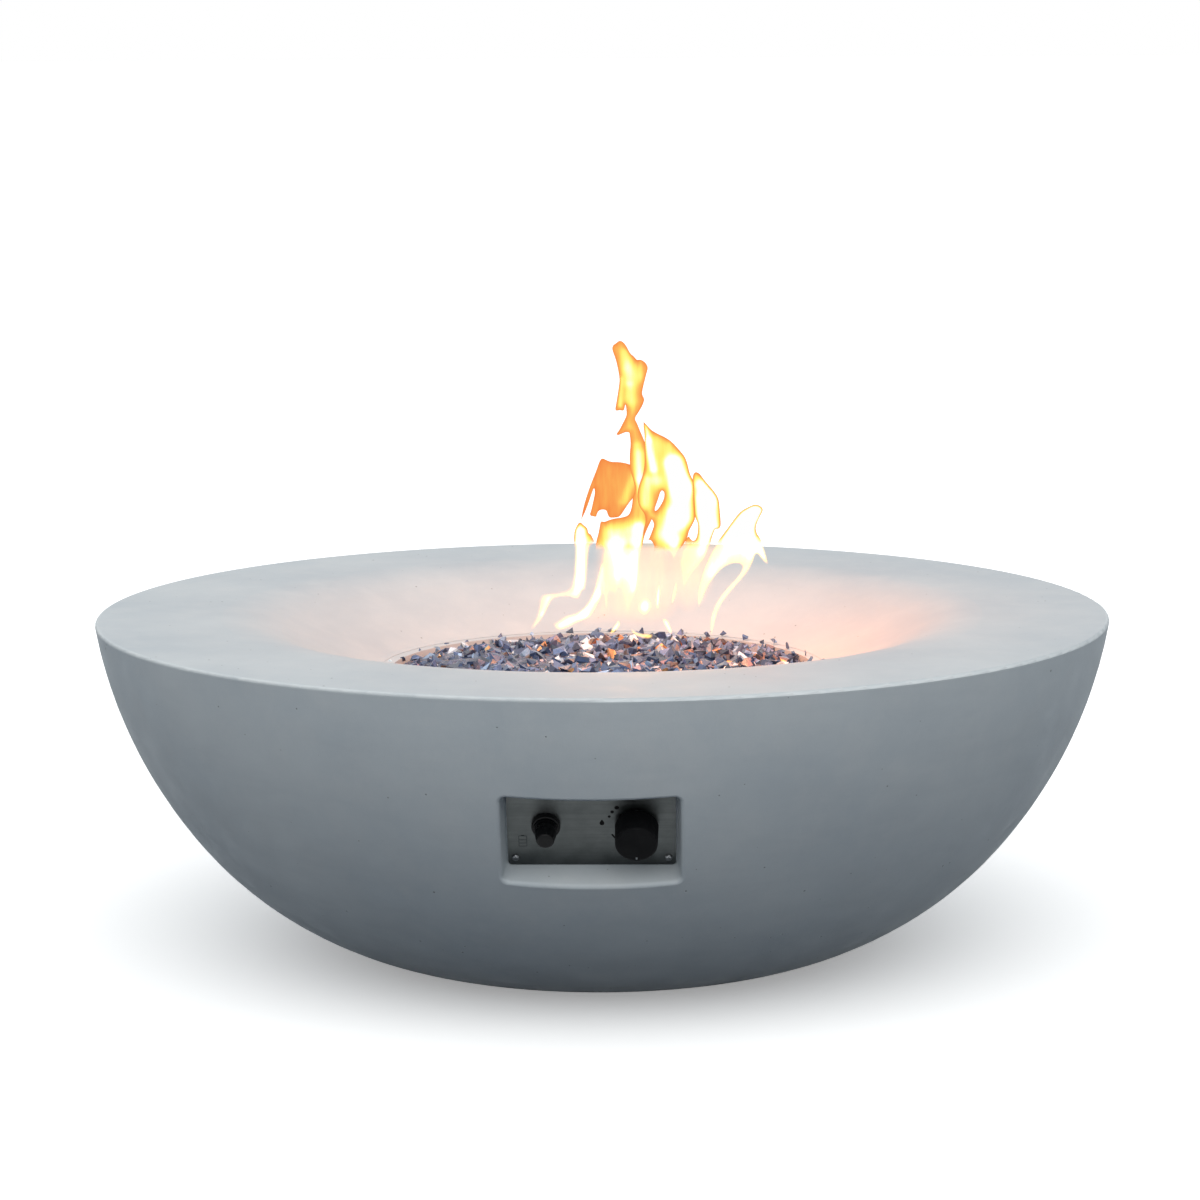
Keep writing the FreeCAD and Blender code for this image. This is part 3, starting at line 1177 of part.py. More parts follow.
def pilot_shield():
    body = new_body("pilot_shield")
    half_x, half_y, sheet = "Sizes.shield_length / 2", "Sizes.shield_width / 2", "Sizes.shield_sheet"
    block = sketch_on(body, "shield_outline")
    rounded(block, half_x, half_y, "Sizes.shield_corner_radius")
    pad(body, block, "Sizes.shield_rise")
    hollow = sketch_on(body, "shield_hollow")
    rounded(hollow, "%s - %s" % (half_x, sheet), "%s - %s" % (half_y, sheet),
            "Sizes.shield_corner_radius - " + sheet)
    pocket(body, hollow, "Sizes.shield_rise - " + sheet, forward=True)
    slots = sketch_on(body, "shield_slots", "XZ_Plane", out="Sizes.shield_width")
    tops = sketch_on(body, "shield_top_slots", out="Sizes.shield_rise + 1")
    for place in (-2, -1, 0, 1, 2):
        x = "Sizes.shield_slot_pitch * %d" % place
        x = "0" if place == 0 else x
        width = "Sizes.shield_slot_width"
        corner = width + " * Sizes.shield_slot_corner_share"
        rounded(slots, width + " / 2", "Sizes.shield_slot_length / 2", corner, x, "Sizes.shield_rise / 2")
        rounded(tops, width + " / 2", "Sizes.shield_width / 2 - Sizes.shield_slot_margin", corner, x)
    pocket(body, slots, "Sizes.shield_width * 2")
    pocket(body, tops, "Sizes.shield_corner_radius")
    return seat(body, UPRIGHT, "0 - Sizes.pilot_side", "0 - Sizes.pilot_front", "Layout.pan_floor")


# Hoses and leads: straight runs joined by tangent arcs

def bent_path(points):
    """Edges of straight runs with an arc at each inner point, and the arcs' radii."""
    edges, radii = [], []
    here = points[0]
    for place in range(1, len(points) - 1):
        before, corner, after = points[place - 1], points[place], points[place + 1]
        way_in, way_out = corner - before, after - corner
        run = min(way_in.Length, way_out.Length)
        cut_off = number("Sizes.bend_share") * run
        turn = way_in.getAngle(way_out)
        start = corner - way_in.normalize() * cut_off
        end = corner + way_out.normalize() * cut_off
        radius = cut_off / math.tan(turn / 2)
        inward = (way_out - way_in).normalize()
        middle = corner + inward * (radius / math.cos(turn / 2) - radius)
        edges.append(Part.LineSegment(here, start).toShape())
        edges.append(Part.Arc(start, middle, end).toShape())
        radii.append(round(radius, 1))
        here = end
    edges.append(Part.LineSegment(here, points[-1]).toShape())
    return Part.Wire(edges), radii


def bent_tube(label, radius_rule, points):
    radius = number(radius_rule)
    wire, radii = bent_path(points)
    way = (points[1] - points[0]).normalize()
    ring = Part.Wire(Part.makeCircle(radius, points[0], way))
    sweep = Part.BRepOffsetAPI.MakePipeShell(wire)
    sweep.setFrenetMode(False)
    sweep.add(ring)
    sweep.build()
    sweep.makeSolid()
    feature = doc.addObject("Part::Feature", label)
    feature.Shape = sweep.shape()
    expected = math.pi * radius ** 2 * wire.Length
    print("%s length %.0f radii %s volume ratio %.4f"
          % (label, wire.Length, radii, feature.Shape.Volume / expected))
    return keep(feature, label)


def route(start, start_way, start_run, stations, end, end_way, end_run):
    """Points from one fitting to another. A station is (share of the way, side, rise)."""
    first = start + start_way * start_run
    last = end + end_way * end_run
    points = [start, first]
    for share, side, rise in stations:
        points.append(first + (last - first) * share + FreeCAD.Vector(side, 0, rise))
    return points + [last, end]


def hoses_and_leads():
    panel = frame_placement(ALONG_WALL)
    outward = panel.Rotation.multVec(FreeCAD.Vector(0, 0, 1))
    upward = panel.Rotation.multVec(FreeCAD.Vector(0, 1, 0))
    x = number("Sizes.control_offset")
    spigot = number("Sizes.spigot_length")
    boss = number("Sizes.valve_boss_length")

    outlet = panel.multVec(FreeCAD.Vector(x, 0, -number("Sizes.valve_depth") - boss - spigot))
    elbow = FreeCAD.Vector(0, -number("Sizes.elbow_block / 2") - spigot, number("Layout.elbow_height"))
    forward = FreeCAD.Vector(0, -1, 0)
    bent_tube("burner_hose", "Sizes.hose_radius", route(
        outlet, -outward, 45, [(0.22, 0, 13), (0.5, 0, 8), (0.78, 0, 2)], elbow, forward, 55))

    depth = number("Sizes.valve_inlet_depth")
    inlet = panel.multVec(FreeCAD.Vector(x, -number("Sizes.valve_block / 2") - boss - spigot, -depth))
    rear = frame_placement(REAR_WALL)
    rear_out = rear.Rotation.multVec(FreeCAD.Vector(0, 0, 1))
    tail = number("1 - Sizes.shell_wall - Sizes.inlet_nut_thickness - 2 - Sizes.spigot_length")
    supply = rear.multVec(FreeCAD.Vector(0, 0, tail))
    bent_tube("supply_hose", "Sizes.hose_radius", route(
        inlet, -upward, 45,
        [(0.07, 6, -33), (0.17, 17, -62), (0.3, 30, -84), (0.44, 42, -94), (0.58, 50, -90), (0.71, 46, -68),
         (0.82, 34, -34), (0.91, 16, -4)], supply, -rear_out, 45))

    port = number("Sizes.valve_block / 2 + Sizes.valve_port_length")
    sensor = panel.multVec(FreeCAD.Vector(x - port, 0, -depth))
    probe = pilot_spot("+", "Layout.pan_floor - Sizes.thermocouple_drop")
    side, down = FreeCAD.Vector(-1, 0, 0), FreeCAD.Vector(0, 0, -1)
    bent_tube("thermocouple_lead", "Sizes.lead_radius", route(
        sensor, side, 24,
        [(0.045, -9, 3), (0.16, -9, 4), (0.31, -5, 0), (0.47, -2, -8), (0.63, 0, -14), (0.79, 0, -18),
         (0.93, 0, -14)], probe, down, 22))

    button = number("Sizes.igniter_depth + Sizes.igniter_terminal_length")
    terminal = panel.multVec(FreeCAD.Vector(-x, 0, -button))
    spark = pilot_spot("-", "Layout.pan_floor - Sizes.electrode_drop")
    bent_tube("ignition_wire", "Sizes.wire_radius", route(
        terminal, -outward, 34,
        [(0.17, 0, 9), (0.36, -1, 2), (0.56, -2, -12), (0.76, -1, -24), (0.92, 0, -24)], spark, down, 28))

    nut = hose_nut()
    turns = [(outlet, -outward), (inlet, -upward), (elbow, forward), (supply, -rear_out)]
    shapes = []
    for tip, way in turns:
        spin = FreeCAD.Rotation(FreeCAD.Vector(0, 0, 1), way)
        shapes.append(placed(nut, FreeCAD.Placement(tip - way * (spigot - 1), spin)))
    group("hose_nuts", shapes)

    lead_nut = hex_sleeve("Sizes.lead_nut_flats", "Sizes.lead_nut_length", "Sizes.lead_radius + 0.1")
    spin = FreeCAD.Rotation(FreeCAD.Vector(0, 0, 1), side)
    group("thermocouple_nut", [placed(lead_nut, FreeCAD.Placement(sensor, spin))])


def hex_sleeve(flats, length, bore):
    across = number(flats) / 2 / math.cos(math.radians(30))
    corners = [FreeCAD.Vector(across * math.cos(a * math.pi / 3), across * math.sin(a * math.pi / 3), 0)
               for a in range(6)]
    face = Part.Face(Part.makePolygon(corners + corners[:1]))
    prism = face.extrude(FreeCAD.Vector(0, 0, number(length)))
    return prism.cut(Part.makeCylinder(number(bore), number(length)))


def hose_nut():
    """A flare nut: a wide bore over the spigot, and a narrow one round the hose."""
    sleeve = hex_sleeve("Sizes.hose_nut_flats", "Sizes.hose_nut_length", "Sizes.hose_radius + 0.1")
    wide = number("Sizes.spigot_radius + 0.1")
    return sleeve.cut(Part.makeCylinder(wide, number("Sizes.spigot_length") - 0.9))


def build():
    bowl_shell()
    base_cover()
    cover_screws()
    control_panel()
    panel_screws()
    gas_valve()
    valve_stem()
    push_rod()
    spring("stem_return_spring", "Sizes.stem_radius + 0.6", "Sizes.stem_collar_radius",
           "0.1 - Sizes.spring_pocket_depth", "Sizes.seat_gap - 0.1", "Sizes.control_offset")
    control_knob()
    igniter()
    burner_pan()
    burner_ring()
    lock_nut("burner_lock_nut", "Sizes.lock_nut_flats", "Layout.pan_under - Sizes.lock_nut_thickness",
             "Sizes.lock_nut_thickness", "Sizes.nipple_radius + Sizes.screw_clearance")
    air_mixer()
    air_shutter()
    orifice_elbow()
    gas_inlet()
    pilot_bracket()
    pilot_pieces()
    pilot_shield()
    fire_glass()
    hoses_and_leads()


def check_and_write():
    doc.recompute()
    faults = []
    for item in doc.Objects:
        if "Invalid" in item.State or "Error" in item.State:
            faults.append("%s %s" % (item.Name, item.State))
    for piece in parts:
        shape = piece.Shape
        if shape.isNull() or not shape.isValid() or not shape.Solids:
            faults.append("%s has no valid solid" % piece.Label)
    if faults:
        raise RuntimeError("; ".join(faults))
    os.makedirs("parts", exist_ok=True)
    for piece in parts:
        piece.Shape.exportStep("parts/%s.step" % piece.Label)
    print("%d nodes" % len(parts))


build()
check_and_write()
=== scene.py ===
import json
import math

import bmesh
import bpy
import numpy as np
from mathutils import Matrix, Vector
from mathutils.geometry import delaunay_2d_cdt

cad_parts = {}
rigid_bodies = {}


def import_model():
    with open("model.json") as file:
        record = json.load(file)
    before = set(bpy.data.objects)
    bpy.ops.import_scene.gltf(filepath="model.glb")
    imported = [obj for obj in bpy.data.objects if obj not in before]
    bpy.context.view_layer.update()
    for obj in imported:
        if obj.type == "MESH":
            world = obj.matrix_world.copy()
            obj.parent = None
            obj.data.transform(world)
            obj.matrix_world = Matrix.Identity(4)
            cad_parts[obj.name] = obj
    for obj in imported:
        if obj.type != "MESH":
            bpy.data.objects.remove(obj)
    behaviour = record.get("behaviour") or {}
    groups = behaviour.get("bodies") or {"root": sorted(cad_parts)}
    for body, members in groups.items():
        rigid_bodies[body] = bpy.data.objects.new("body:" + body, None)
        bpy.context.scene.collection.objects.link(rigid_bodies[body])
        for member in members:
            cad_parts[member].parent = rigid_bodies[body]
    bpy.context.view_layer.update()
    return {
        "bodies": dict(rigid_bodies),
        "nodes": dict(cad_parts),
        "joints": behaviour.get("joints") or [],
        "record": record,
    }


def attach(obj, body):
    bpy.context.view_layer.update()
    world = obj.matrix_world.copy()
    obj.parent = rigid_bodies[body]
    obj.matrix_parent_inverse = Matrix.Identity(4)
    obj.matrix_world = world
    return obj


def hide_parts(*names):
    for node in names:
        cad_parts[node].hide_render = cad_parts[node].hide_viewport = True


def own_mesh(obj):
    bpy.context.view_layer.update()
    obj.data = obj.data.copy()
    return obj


# A round cast concrete gas fire bowl, with its crushed glass, its steel panel and its flame.
# Everything is in metres, the bowl stands on z = 0 and its panel faces -Y.

# The bowl's rim

RIM_HEIGHT = 0.356935
RIM_RADIUS = 0.5335

# The glass bed: its height in the middle and at its edge, its radius, the steep band at the pan's wall, how
# much the loose pieces rise for each metre to the right, and the top of the pan's flange round it

GLASS_TOP = 0.3058
GLASS_EDGE = 0.2908
GLASS_RADIUS = 0.2232
GLASS_BAND = 0.004
GLASS_LEAN = 0.012
FLANGE_TOP = 0.2968

# The loose pieces of glass, layer by layer: how many, from which to which radius, their height over the bed
# and their half size. The seed fixes where each one lies.

GLASS_LAYERS = (
    (900, 0, 0.2190, -0.0040, 0.0108),
    (760, 0, 0.2175, -0.0015, 0.0112),
    (170, 0, 0.2050, 0.0010, 0.0118),
    (60, 0.2190, 0.2330, 0.0010, 0.0070),
)
GLASS_SHAPES = 40
GLASS_SEED = 11

# Their colours (deep blue, grey-blue, violet, smoky, pale blue; brown and amber as painted flame
# reflections and clear as painted white glints), how common each is, and how much brighter one facet is
# painted than another, a painted sparkle

GLASS_TINTS_WITH_PAINTED_GLINTS = ((0.055, 0.085, 0.17), (0.08, 0.115, 0.21), (0.1, 0.115, 0.2), (0.028, 0.036, 0.07),
               (0.22, 0.31, 0.45), (0.12, 0.045, 0.02), (0.6, 0.28, 0.1), (0.7, 0.8, 0.9))
GLASS_SHARES = (0.24, 0.21, 0.16, 0.13, 0.11, 0.07, 0.03, 0.05)
FACET_PAINTED_SPARKLE = (0.45, 0.8, 1.0, 1.25, 1.9)

# The bead round the pan's flange: its section as radius and height, and its steps round

BEAD_SECTION = ((0.2439, 0.29915), (0.2372, 0.29710), (0.2378, 0.29665), (0.2439, 0.29600))
BEAD_STEPS = 180

# The coil springs: node, turns, wire radius, and the joint that shortens it by how much. Then the steps in
# one turn, the sides of the wire, and how much of a turn lies flat at each end.

COILS = (
    ("stem_return_spring", 6, 0.0005, "knob_push", 0.004),
    ("igniter_button_spring", 6, 0.0004, "igniter_press", 0.003),
    ("igniter_contact_spring", 4, 0.0004, None, 0),
)
COIL_STEPS = 28
COIL_SIDES = 8
COIL_FLAT = 0.6

# The panel: its middle on the recess floor, and the directions along it, up it and out of it. The knob's
# pointer line starts at a share of its radius and ends short of its edge.

PANEL_MIDDLE = Vector((0, -0.452321, 0.223109))
PANEL_ALONG = Vector((1, 0, 0))
PANEL_UP = Vector((0, -0.46947, 0.88295))
PANEL_OUT = Vector((0, -0.88295, -0.46947))
PLATE_FACE = 0.0015
KNOB_ALONG = 0.043
KNOB_FRONT = 0.033
KNOB_EDGE = 0.0202
POINTER_WIDTH = 0.0018
POINTER_DEPTH = 0.0005
POINTER_GAP = 0.00005
POINTER_START = 0.72
POINTER_END = 0.0028

# The signs on the panel. Those beside the knob are placed by the distance from its middle and the degrees
# over its left side, and the battery sign by its place along and up the panel.

SCALE_DISTANCE = 0.0275
SCALE_DOTS = ((19.5, 0.0014), (33, 0.0017), (47, 0.0021))
DROP_PLACE = (0.033, 3.5)
DROP_SIZE = 0.0034
STROKE = (0.0268, -27.7, -44, 0.0016)
BATTERY_PLACE = (-0.0655, -0.021)
BATTERY_SIZE = (0.0075, 0.0125)
BATTERY_LINE = 0.0005
INK_SUNK = 0.0001
INK_RAISED = 0.00008

# The flame's foot, and the heights in millimetres over it between which it turns from soft light, added to
# what is behind it, into sheets with crisp edges that cover what is behind them

FLAME_BASE = 0.33
FLAME_SPLIT = (90, 101)

# The low part keeps more of what is behind it, is a little dimmer and is cooler

LOW_KEPT = 0.88
LOW_DIMMED = 0.15
LOW_COOLED = 0.5

# The flame's sheets in millimetres: the grid that fills them, their half thickness at the edge and added in
# the middle, how far in that is reached, and how far they wave

FLAME_GRID = 1.5
FLAME_THIN = 0.1
FLAME_THICK = 5.5
FLAME_ROUND = 9
FLAME_WAVE = 2.5

# The camera, measured from the middle of the rim

CAMERA_DISTANCE = 4.0
CAMERA_RISE = math.radians(8.76)
CAMERA_PITCH = math.radians(8.60)
CAMERA_SIDE = math.radians(1.42)
CAMERA_TURN = math.radians(0.03)
CAMERA_ROLL = math.radians(-0.33)
CAMERA_LENS = 113.2
CAMERA_SENSOR = 36
CAMERA_REACH = 500
FLOOR_REACH = 120


# Shader building blocks

def new_material(name):
    """An empty material and its node tree, with the surface shader in place."""
    material = bpy.data.materials.new(name)
    material.use_nodes = True
    return material, material.node_tree, material.node_tree.nodes["Principled BSDF"]


def put(tree, kind, sockets=None, **settings):
    """A node with its settings, and each socket either linked or set."""
    made = tree.nodes.new(kind)
    for name, value in settings.items():
        setattr(made, name, value)
    for name, value in (sockets or {}).items():
        plug(tree, made.inputs[name], value)
    return made


def plug(tree, socket, value):
    """A socket takes a link, a colour or a number."""
    if isinstance(value, bpy.types.NodeSocket):
        tree.links.new(value, socket)
    elif isinstance(value, tuple) and socket.type == "RGBA" and len(value) == 3:
        socket.default_value = (*value, 1)
    else:
        socket.default_value = value


def place(tree):
    """The point on the piece, in metres."""
    return put(tree, "ShaderNodeTexCoord").outputs["Object"]


def stretched(tree, scale):
    """The point with each direction scaled, for grain that runs one way."""
    return put(tree, "ShaderNodeMapping", {"Vector": place(tree), "Scale": scale}).outputs["Vector"]


def noise(tree, scale, detail=4, rough=0.55, at=None):
    """Cloudy variation about 1 / scale metres across."""
    sockets = {"Vector": at or place(tree), "Scale": scale, "Detail": detail, "Roughness": rough}
    return put(tree, "ShaderNodeTexNoise", sockets).outputs["Fac"]


def spots(tree, scale, at=None):
    """Distance to the nearest of many scattered points."""
    sockets = {"Vector": at or place(tree), "Scale": scale}
    return put(tree, "ShaderNodeTexVoronoi", sockets).outputs["Distance"]


def between(tree, value, low, high, start=0, end=1):
    """Value eased from start at low to end at high, and held outside them."""
    sockets = {"Value": value, "From Min": low, "From Max": high, "To Min": start, "To Max": end}
    return put(tree, "ShaderNodeMapRange", sockets, clamp=True).outputs["Result"]


def maths(tree, operation, first, second=0):
    """One sum on two numbers."""
    made = put(tree, "ShaderNodeMath", operation=operation)
    plug(tree, made.inputs[0], first)
    plug(tree, made.inputs[1], second)
    return made.outputs[0]


def blended(tree, share, first, second):
    """Two colours mixed by a share."""
    made = put(tree, "ShaderNodeMix", data_type="RGBA")
    plug(tree, made.inputs["Factor"], share)
    plug(tree, made.inputs["A"], first)
    plug(tree, made.inputs["B"], second)
    return made.outputs["Result"]


def bumped(tree, height, strength, distance, below=None):
    """A surface normal raised by a height in metres."""
    sockets = {"Height": height, "Strength": strength, "Distance": distance}
    if below is not None:
        sockets["Normal"] = below
    return put(tree, "ShaderNodeBump", sockets).outputs["Normal"]


# Finishes

def concrete():
    """Fine cast concrete: cloudy greys, sand grain, pinholes painted dark as shade and a rubbed rim edge.
    """
    material, tree, surface = new_material("concrete")
    clouds = noise(tree, 5, 6, 0.6)
    patches = noise(tree, 26, 5, 0.65)
    sand = noise(tree, 900, 3, 0.7)
    streaks = noise(tree, 9, 4, 0.6, stretched(tree, (1, 1, 5)))
    colour = blended(tree, between(tree, clouds, 0.34, 0.66), (0.452, 0.503, 0.54), (0.535, 0.578, 0.602))
    colour = blended(tree, between(tree, patches, 0.45, 0.75, 0, 0.5), colour, (0.585, 0.615, 0.63))
    colour = blended(tree, between(tree, streaks, 0.5, 0.8, 0, 0.35), colour, (0.43, 0.475, 0.51))
    colour = blended(tree, between(tree, sand, 0.25, 0.75, 0, 0.16), colour, (0.36, 0.39, 0.41))
    pits = spots(tree, 55)
    pit_sizes = noise(tree, 30, 2)
    shrunk = maths(tree, "ADD", pits, maths(tree, "MULTIPLY", pit_sizes, 0.22))
    pit_with_painted_shade = between(tree, shrunk, 0.13, 0.16, 1, 0)
    # The pinholes are darkened in colour as painted shade.
    colour = blended(tree, maths(tree, "MULTIPLY", pit_with_painted_shade, 0.75), colour, (0.13, 0.14, 0.15))
    where = put(tree, "ShaderNodeSeparateXYZ", {"Vector": place(tree)})
    across = put(tree, "ShaderNodeCombineXYZ", {"X": where.outputs["X"], "Y": where.outputs["Y"]})
    radius = put(tree, "ShaderNodeVectorMath", {0: across.outputs[0]}, operation="LENGTH").outputs["Value"]
    outer = between(tree, radius, RIM_RADIUS - 0.0045, RIM_RADIUS - 0.0012)
    upper = between(tree, where.outputs["Z"], RIM_HEIGHT - 0.005, RIM_HEIGHT - 0.0015)
    edge = maths(tree, "MULTIPLY", outer, upper)
    rubbed = maths(tree, "MULTIPLY", edge, between(tree, noise(tree, 60, 5), 0.3, 0.6, 0.25, 0.8))
    colour = blended(tree, rubbed, colour, (0.66, 0.69, 0.7))
    plug(tree, surface.inputs["Base Color"], colour)
    plug(tree, surface.inputs["Roughness"], between(tree, patches, 0.3, 0.7, 0.62, 0.82))
    surface.inputs["Specular IOR Level"].default_value = 0.35
    normal = bumped(tree, sand, 0.25, 0.0004)
    normal = bumped(tree, patches, 0.35, 0.0012, normal)
    normal = bumped(tree, maths(tree, "SUBTRACT", 1, pit_with_painted_shade), 0.6, 0.0008, normal)
    plug(tree, surface.inputs["Normal"], normal)
    return material


def metal(name, light, dark, rough, grain=(1, 1, 1), stain=None, stained=0.3):
    """Bare or plated metal with grain along one way, cloudy tarnish and small scratches."""
    material, tree, surface = new_material(name)
    clouds = noise(tree, 45, 5, 0.6)
    lines = noise(tree, 420, 4, 0.6, stretched(tree, grain))
    marks = spots(tree, 260, stretched(tree, (1, 0.25, 0.6)))
    colour = blended(tree, between(tree, clouds, 0.3, 0.7), dark, light)
    colour = blended(tree, between(tree, lines, 0.3, 0.7, 0, 0.35), colour, dark)
    if stain:
        blot = between(tree, noise(tree, 18, 6, 0.65), 0.46, 0.7, 0, stained)
        colour = blended(tree, blot, colour, stain)
    plug(tree, surface.inputs["Base Color"], colour)
    surface.inputs["Metallic"].default_value = 1
    rougher = between(tree, lines, 0.3, 0.7, rough - 0.08, rough + 0.1)
    tarnished = between(tree, clouds, 0.4, 0.7, 0, 0.08)
    plug(tree, surface.inputs["Roughness"], maths(tree, "ADD", rougher, tarnished))
    normal = bumped(tree, lines, 0.2, 0.0002)
    plug(tree, surface.inputs["Normal"], bumped(tree, marks, 0.08, 0.0002, normal))
    return material


def moulded(name, base, worn, rough, shine, grain=1500):
    """Moulded plastic: fine spark texture, a duller cloud and paler rubbed places."""
    material, tree, surface = new_material(name)
    pebbles = spots(tree, grain)
    clouds = noise(tree, 60, 4, 0.6)
    rubbed = between(tree, noise(tree, 140, 5, 0.7), 0.52, 0.75, 0, 0.5)
    plug(tree, surface.inputs["Base Color"], blended(tree, rubbed, base, worn))
    plug(tree, surface.inputs["Roughness"], between(tree, clouds, 0.3, 0.7, rough - 0.08, rough + 0.12))
    surface.inputs["Specular IOR Level"].default_value = shine
    plug(tree, surface.inputs["Normal"], bumped(tree, pebbles, 0.25, 0.0002))
    return material


def crushed_glass():
    """Crushed glass: each facet has its own colour, held in the mesh and painted brighter or darker than
    its piece as a painted sparkle, with wet-looking faces.
    """
    material, tree, surface = new_material("fire_glass")
    tint = put(tree, "ShaderNodeAttribute", attribute_name="Tint").outputs["Color"]
    cloud = noise(tree, 320, 3, 0.6)
    smoky = between(tree, cloud, 0.35, 0.7, 0, 0.35)
    plug(tree, surface.inputs["Base Color"], blended(tree, smoky, tint, (0.05, 0.06, 0.1)))
    plug(tree, surface.inputs["Roughness"], between(tree, noise(tree, 150, 2), 0.35, 0.65, 0.08, 0.3))
    surface.inputs["Specular IOR Level"].default_value = 0.5
    surface.inputs["Coat Weight"].default_value = 0.2
    surface.inputs["Coat Roughness"].default_value = 0.05
    plug(tree, surface.inputs["Normal"], bumped(tree, noise(tree, 260, 3), 0.15, 0.0006))
    return material


def glass_bed():
    """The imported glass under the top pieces: dark, broken blue-grey."""
    material, tree, surface = new_material("glass_bed")
    cells = spots(tree, 110)
    colour = blended(tree, between(tree, cells, 0.1, 0.7), (0.03, 0.035, 0.06), (0.09, 0.1, 0.17))
    plug(tree, surface.inputs["Base Color"], colour)
    plug(tree, surface.inputs["Roughness"], between(tree, noise(tree, 200, 2), 0.3, 0.7, 0.12, 0.4))
    plug(tree, surface.inputs["Normal"], bumped(tree, cells, 0.9, 0.004))
    return material


def ceramic():
    """Glazed white ceramic with a little soot."""
    material, tree, surface = new_material("ceramic")
    soot = between(tree, noise(tree, 90, 5), 0.5, 0.75, 0, 0.6)
    plug(tree, surface.inputs["Base Color"], blended(tree, soot, (0.78, 0.76, 0.7), (0.16, 0.13, 0.1)))
    plug(tree, surface.inputs["Roughness"], between(tree, soot, 0, 0.6, 0.22, 0.6))
    surface.inputs["Coat Weight"].default_value = 0.3
    plug(tree, surface.inputs["Normal"], bumped(tree, noise(tree, 300, 3), 0.15, 0.0003))
    return material


def braided():
    """Braided steel over a rubber hose: two crossed sets of fine ribs."""
    material, tree, surface = new_material("hose")
    ribs = []
    for way in (1, -1):
        sockets = {"Vector": stretched(tree, (way, 1, 1)), "Scale": 130, "Distortion": 0.5}
        wave = put(tree, "ShaderNodeTexWave", sockets, wave_type="BANDS", bands_direction="DIAGONAL")
        ribs.append(wave.outputs["Fac"])
    weave = maths(tree, "MAXIMUM", *ribs)
    colour = blended(tree, between(tree, weave, 0.3, 0.8), (0.06, 0.06, 0.065), (0.5, 0.51, 0.52))
    colour = blended(tree, between(tree, noise(tree, 70, 4), 0.5, 0.7, 0, 0.4), colour, (0.2, 0.19, 0.18))
    plug(tree, surface.inputs["Base Color"], colour)
    surface.inputs["Metallic"].default_value = 0.85
    plug(tree, surface.inputs["Roughness"], between(tree, weave, 0, 1, 0.6, 0.32))
    plug(tree, surface.inputs["Normal"], bumped(tree, weave, 0.6, 0.0006))
    return material


def sleeved_wire():
    """Silicone rubber lead, a little dusty."""
    material, tree, surface = new_material("wire")
    dust = between(tree, noise(tree, 120, 5), 0.45, 0.7, 0, 0.5)
    plug(tree, surface.inputs["Base Color"], blended(tree, dust, (0.55, 0.05, 0.03), (0.42, 0.16, 0.12)))
    plug(tree, surface.inputs["Roughness"], between(tree, dust, 0, 0.5, 0.4, 0.7))
    plug(tree, surface.inputs["Normal"], bumped(tree, noise(tree, 500, 3), 0.2, 0.0002))
    return material


def battery_sleeve():
    """Printed shrink sleeve of a plain dry cell, dark with copper-coloured scuffs."""
    material, tree, surface = new_material("cell")
    scuffs = between(tree, noise(tree, 200, 5, 0.7), 0.5, 0.7, 0, 0.5)
    plug(tree, surface.inputs["Base Color"], blended(tree, scuffs, (0.05, 0.05, 0.055), (0.4, 0.24, 0.12)))
    plug(tree, surface.inputs["Roughness"], between(tree, scuffs, 0, 0.5, 0.3, 0.55))
    surface.inputs["Metallic"].default_value = 0.4
    return material


def printed(name, ink):
    """Screen-printed or filled paint on the panel, slightly worn."""
    material, tree, surface = new_material(name)
    wear = between(tree, noise(tree, 900, 4, 0.7), 0.55, 0.75, 0, 0.25)
    plug(tree, surface.inputs["Base Color"], blended(tree, wear, ink, (0.06, 0.064, 0.064)))
    plug(tree, surface.inputs["Roughness"], between(tree, wear, 0, 0.25, 0.6, 0.75))
    surface.inputs["Specular IOR Level"].default_value = 0.05
    plug(tree, surface.inputs["Normal"], bumped(tree, noise(tree, 1200, 3), 0.1, 0.0001))
    return material


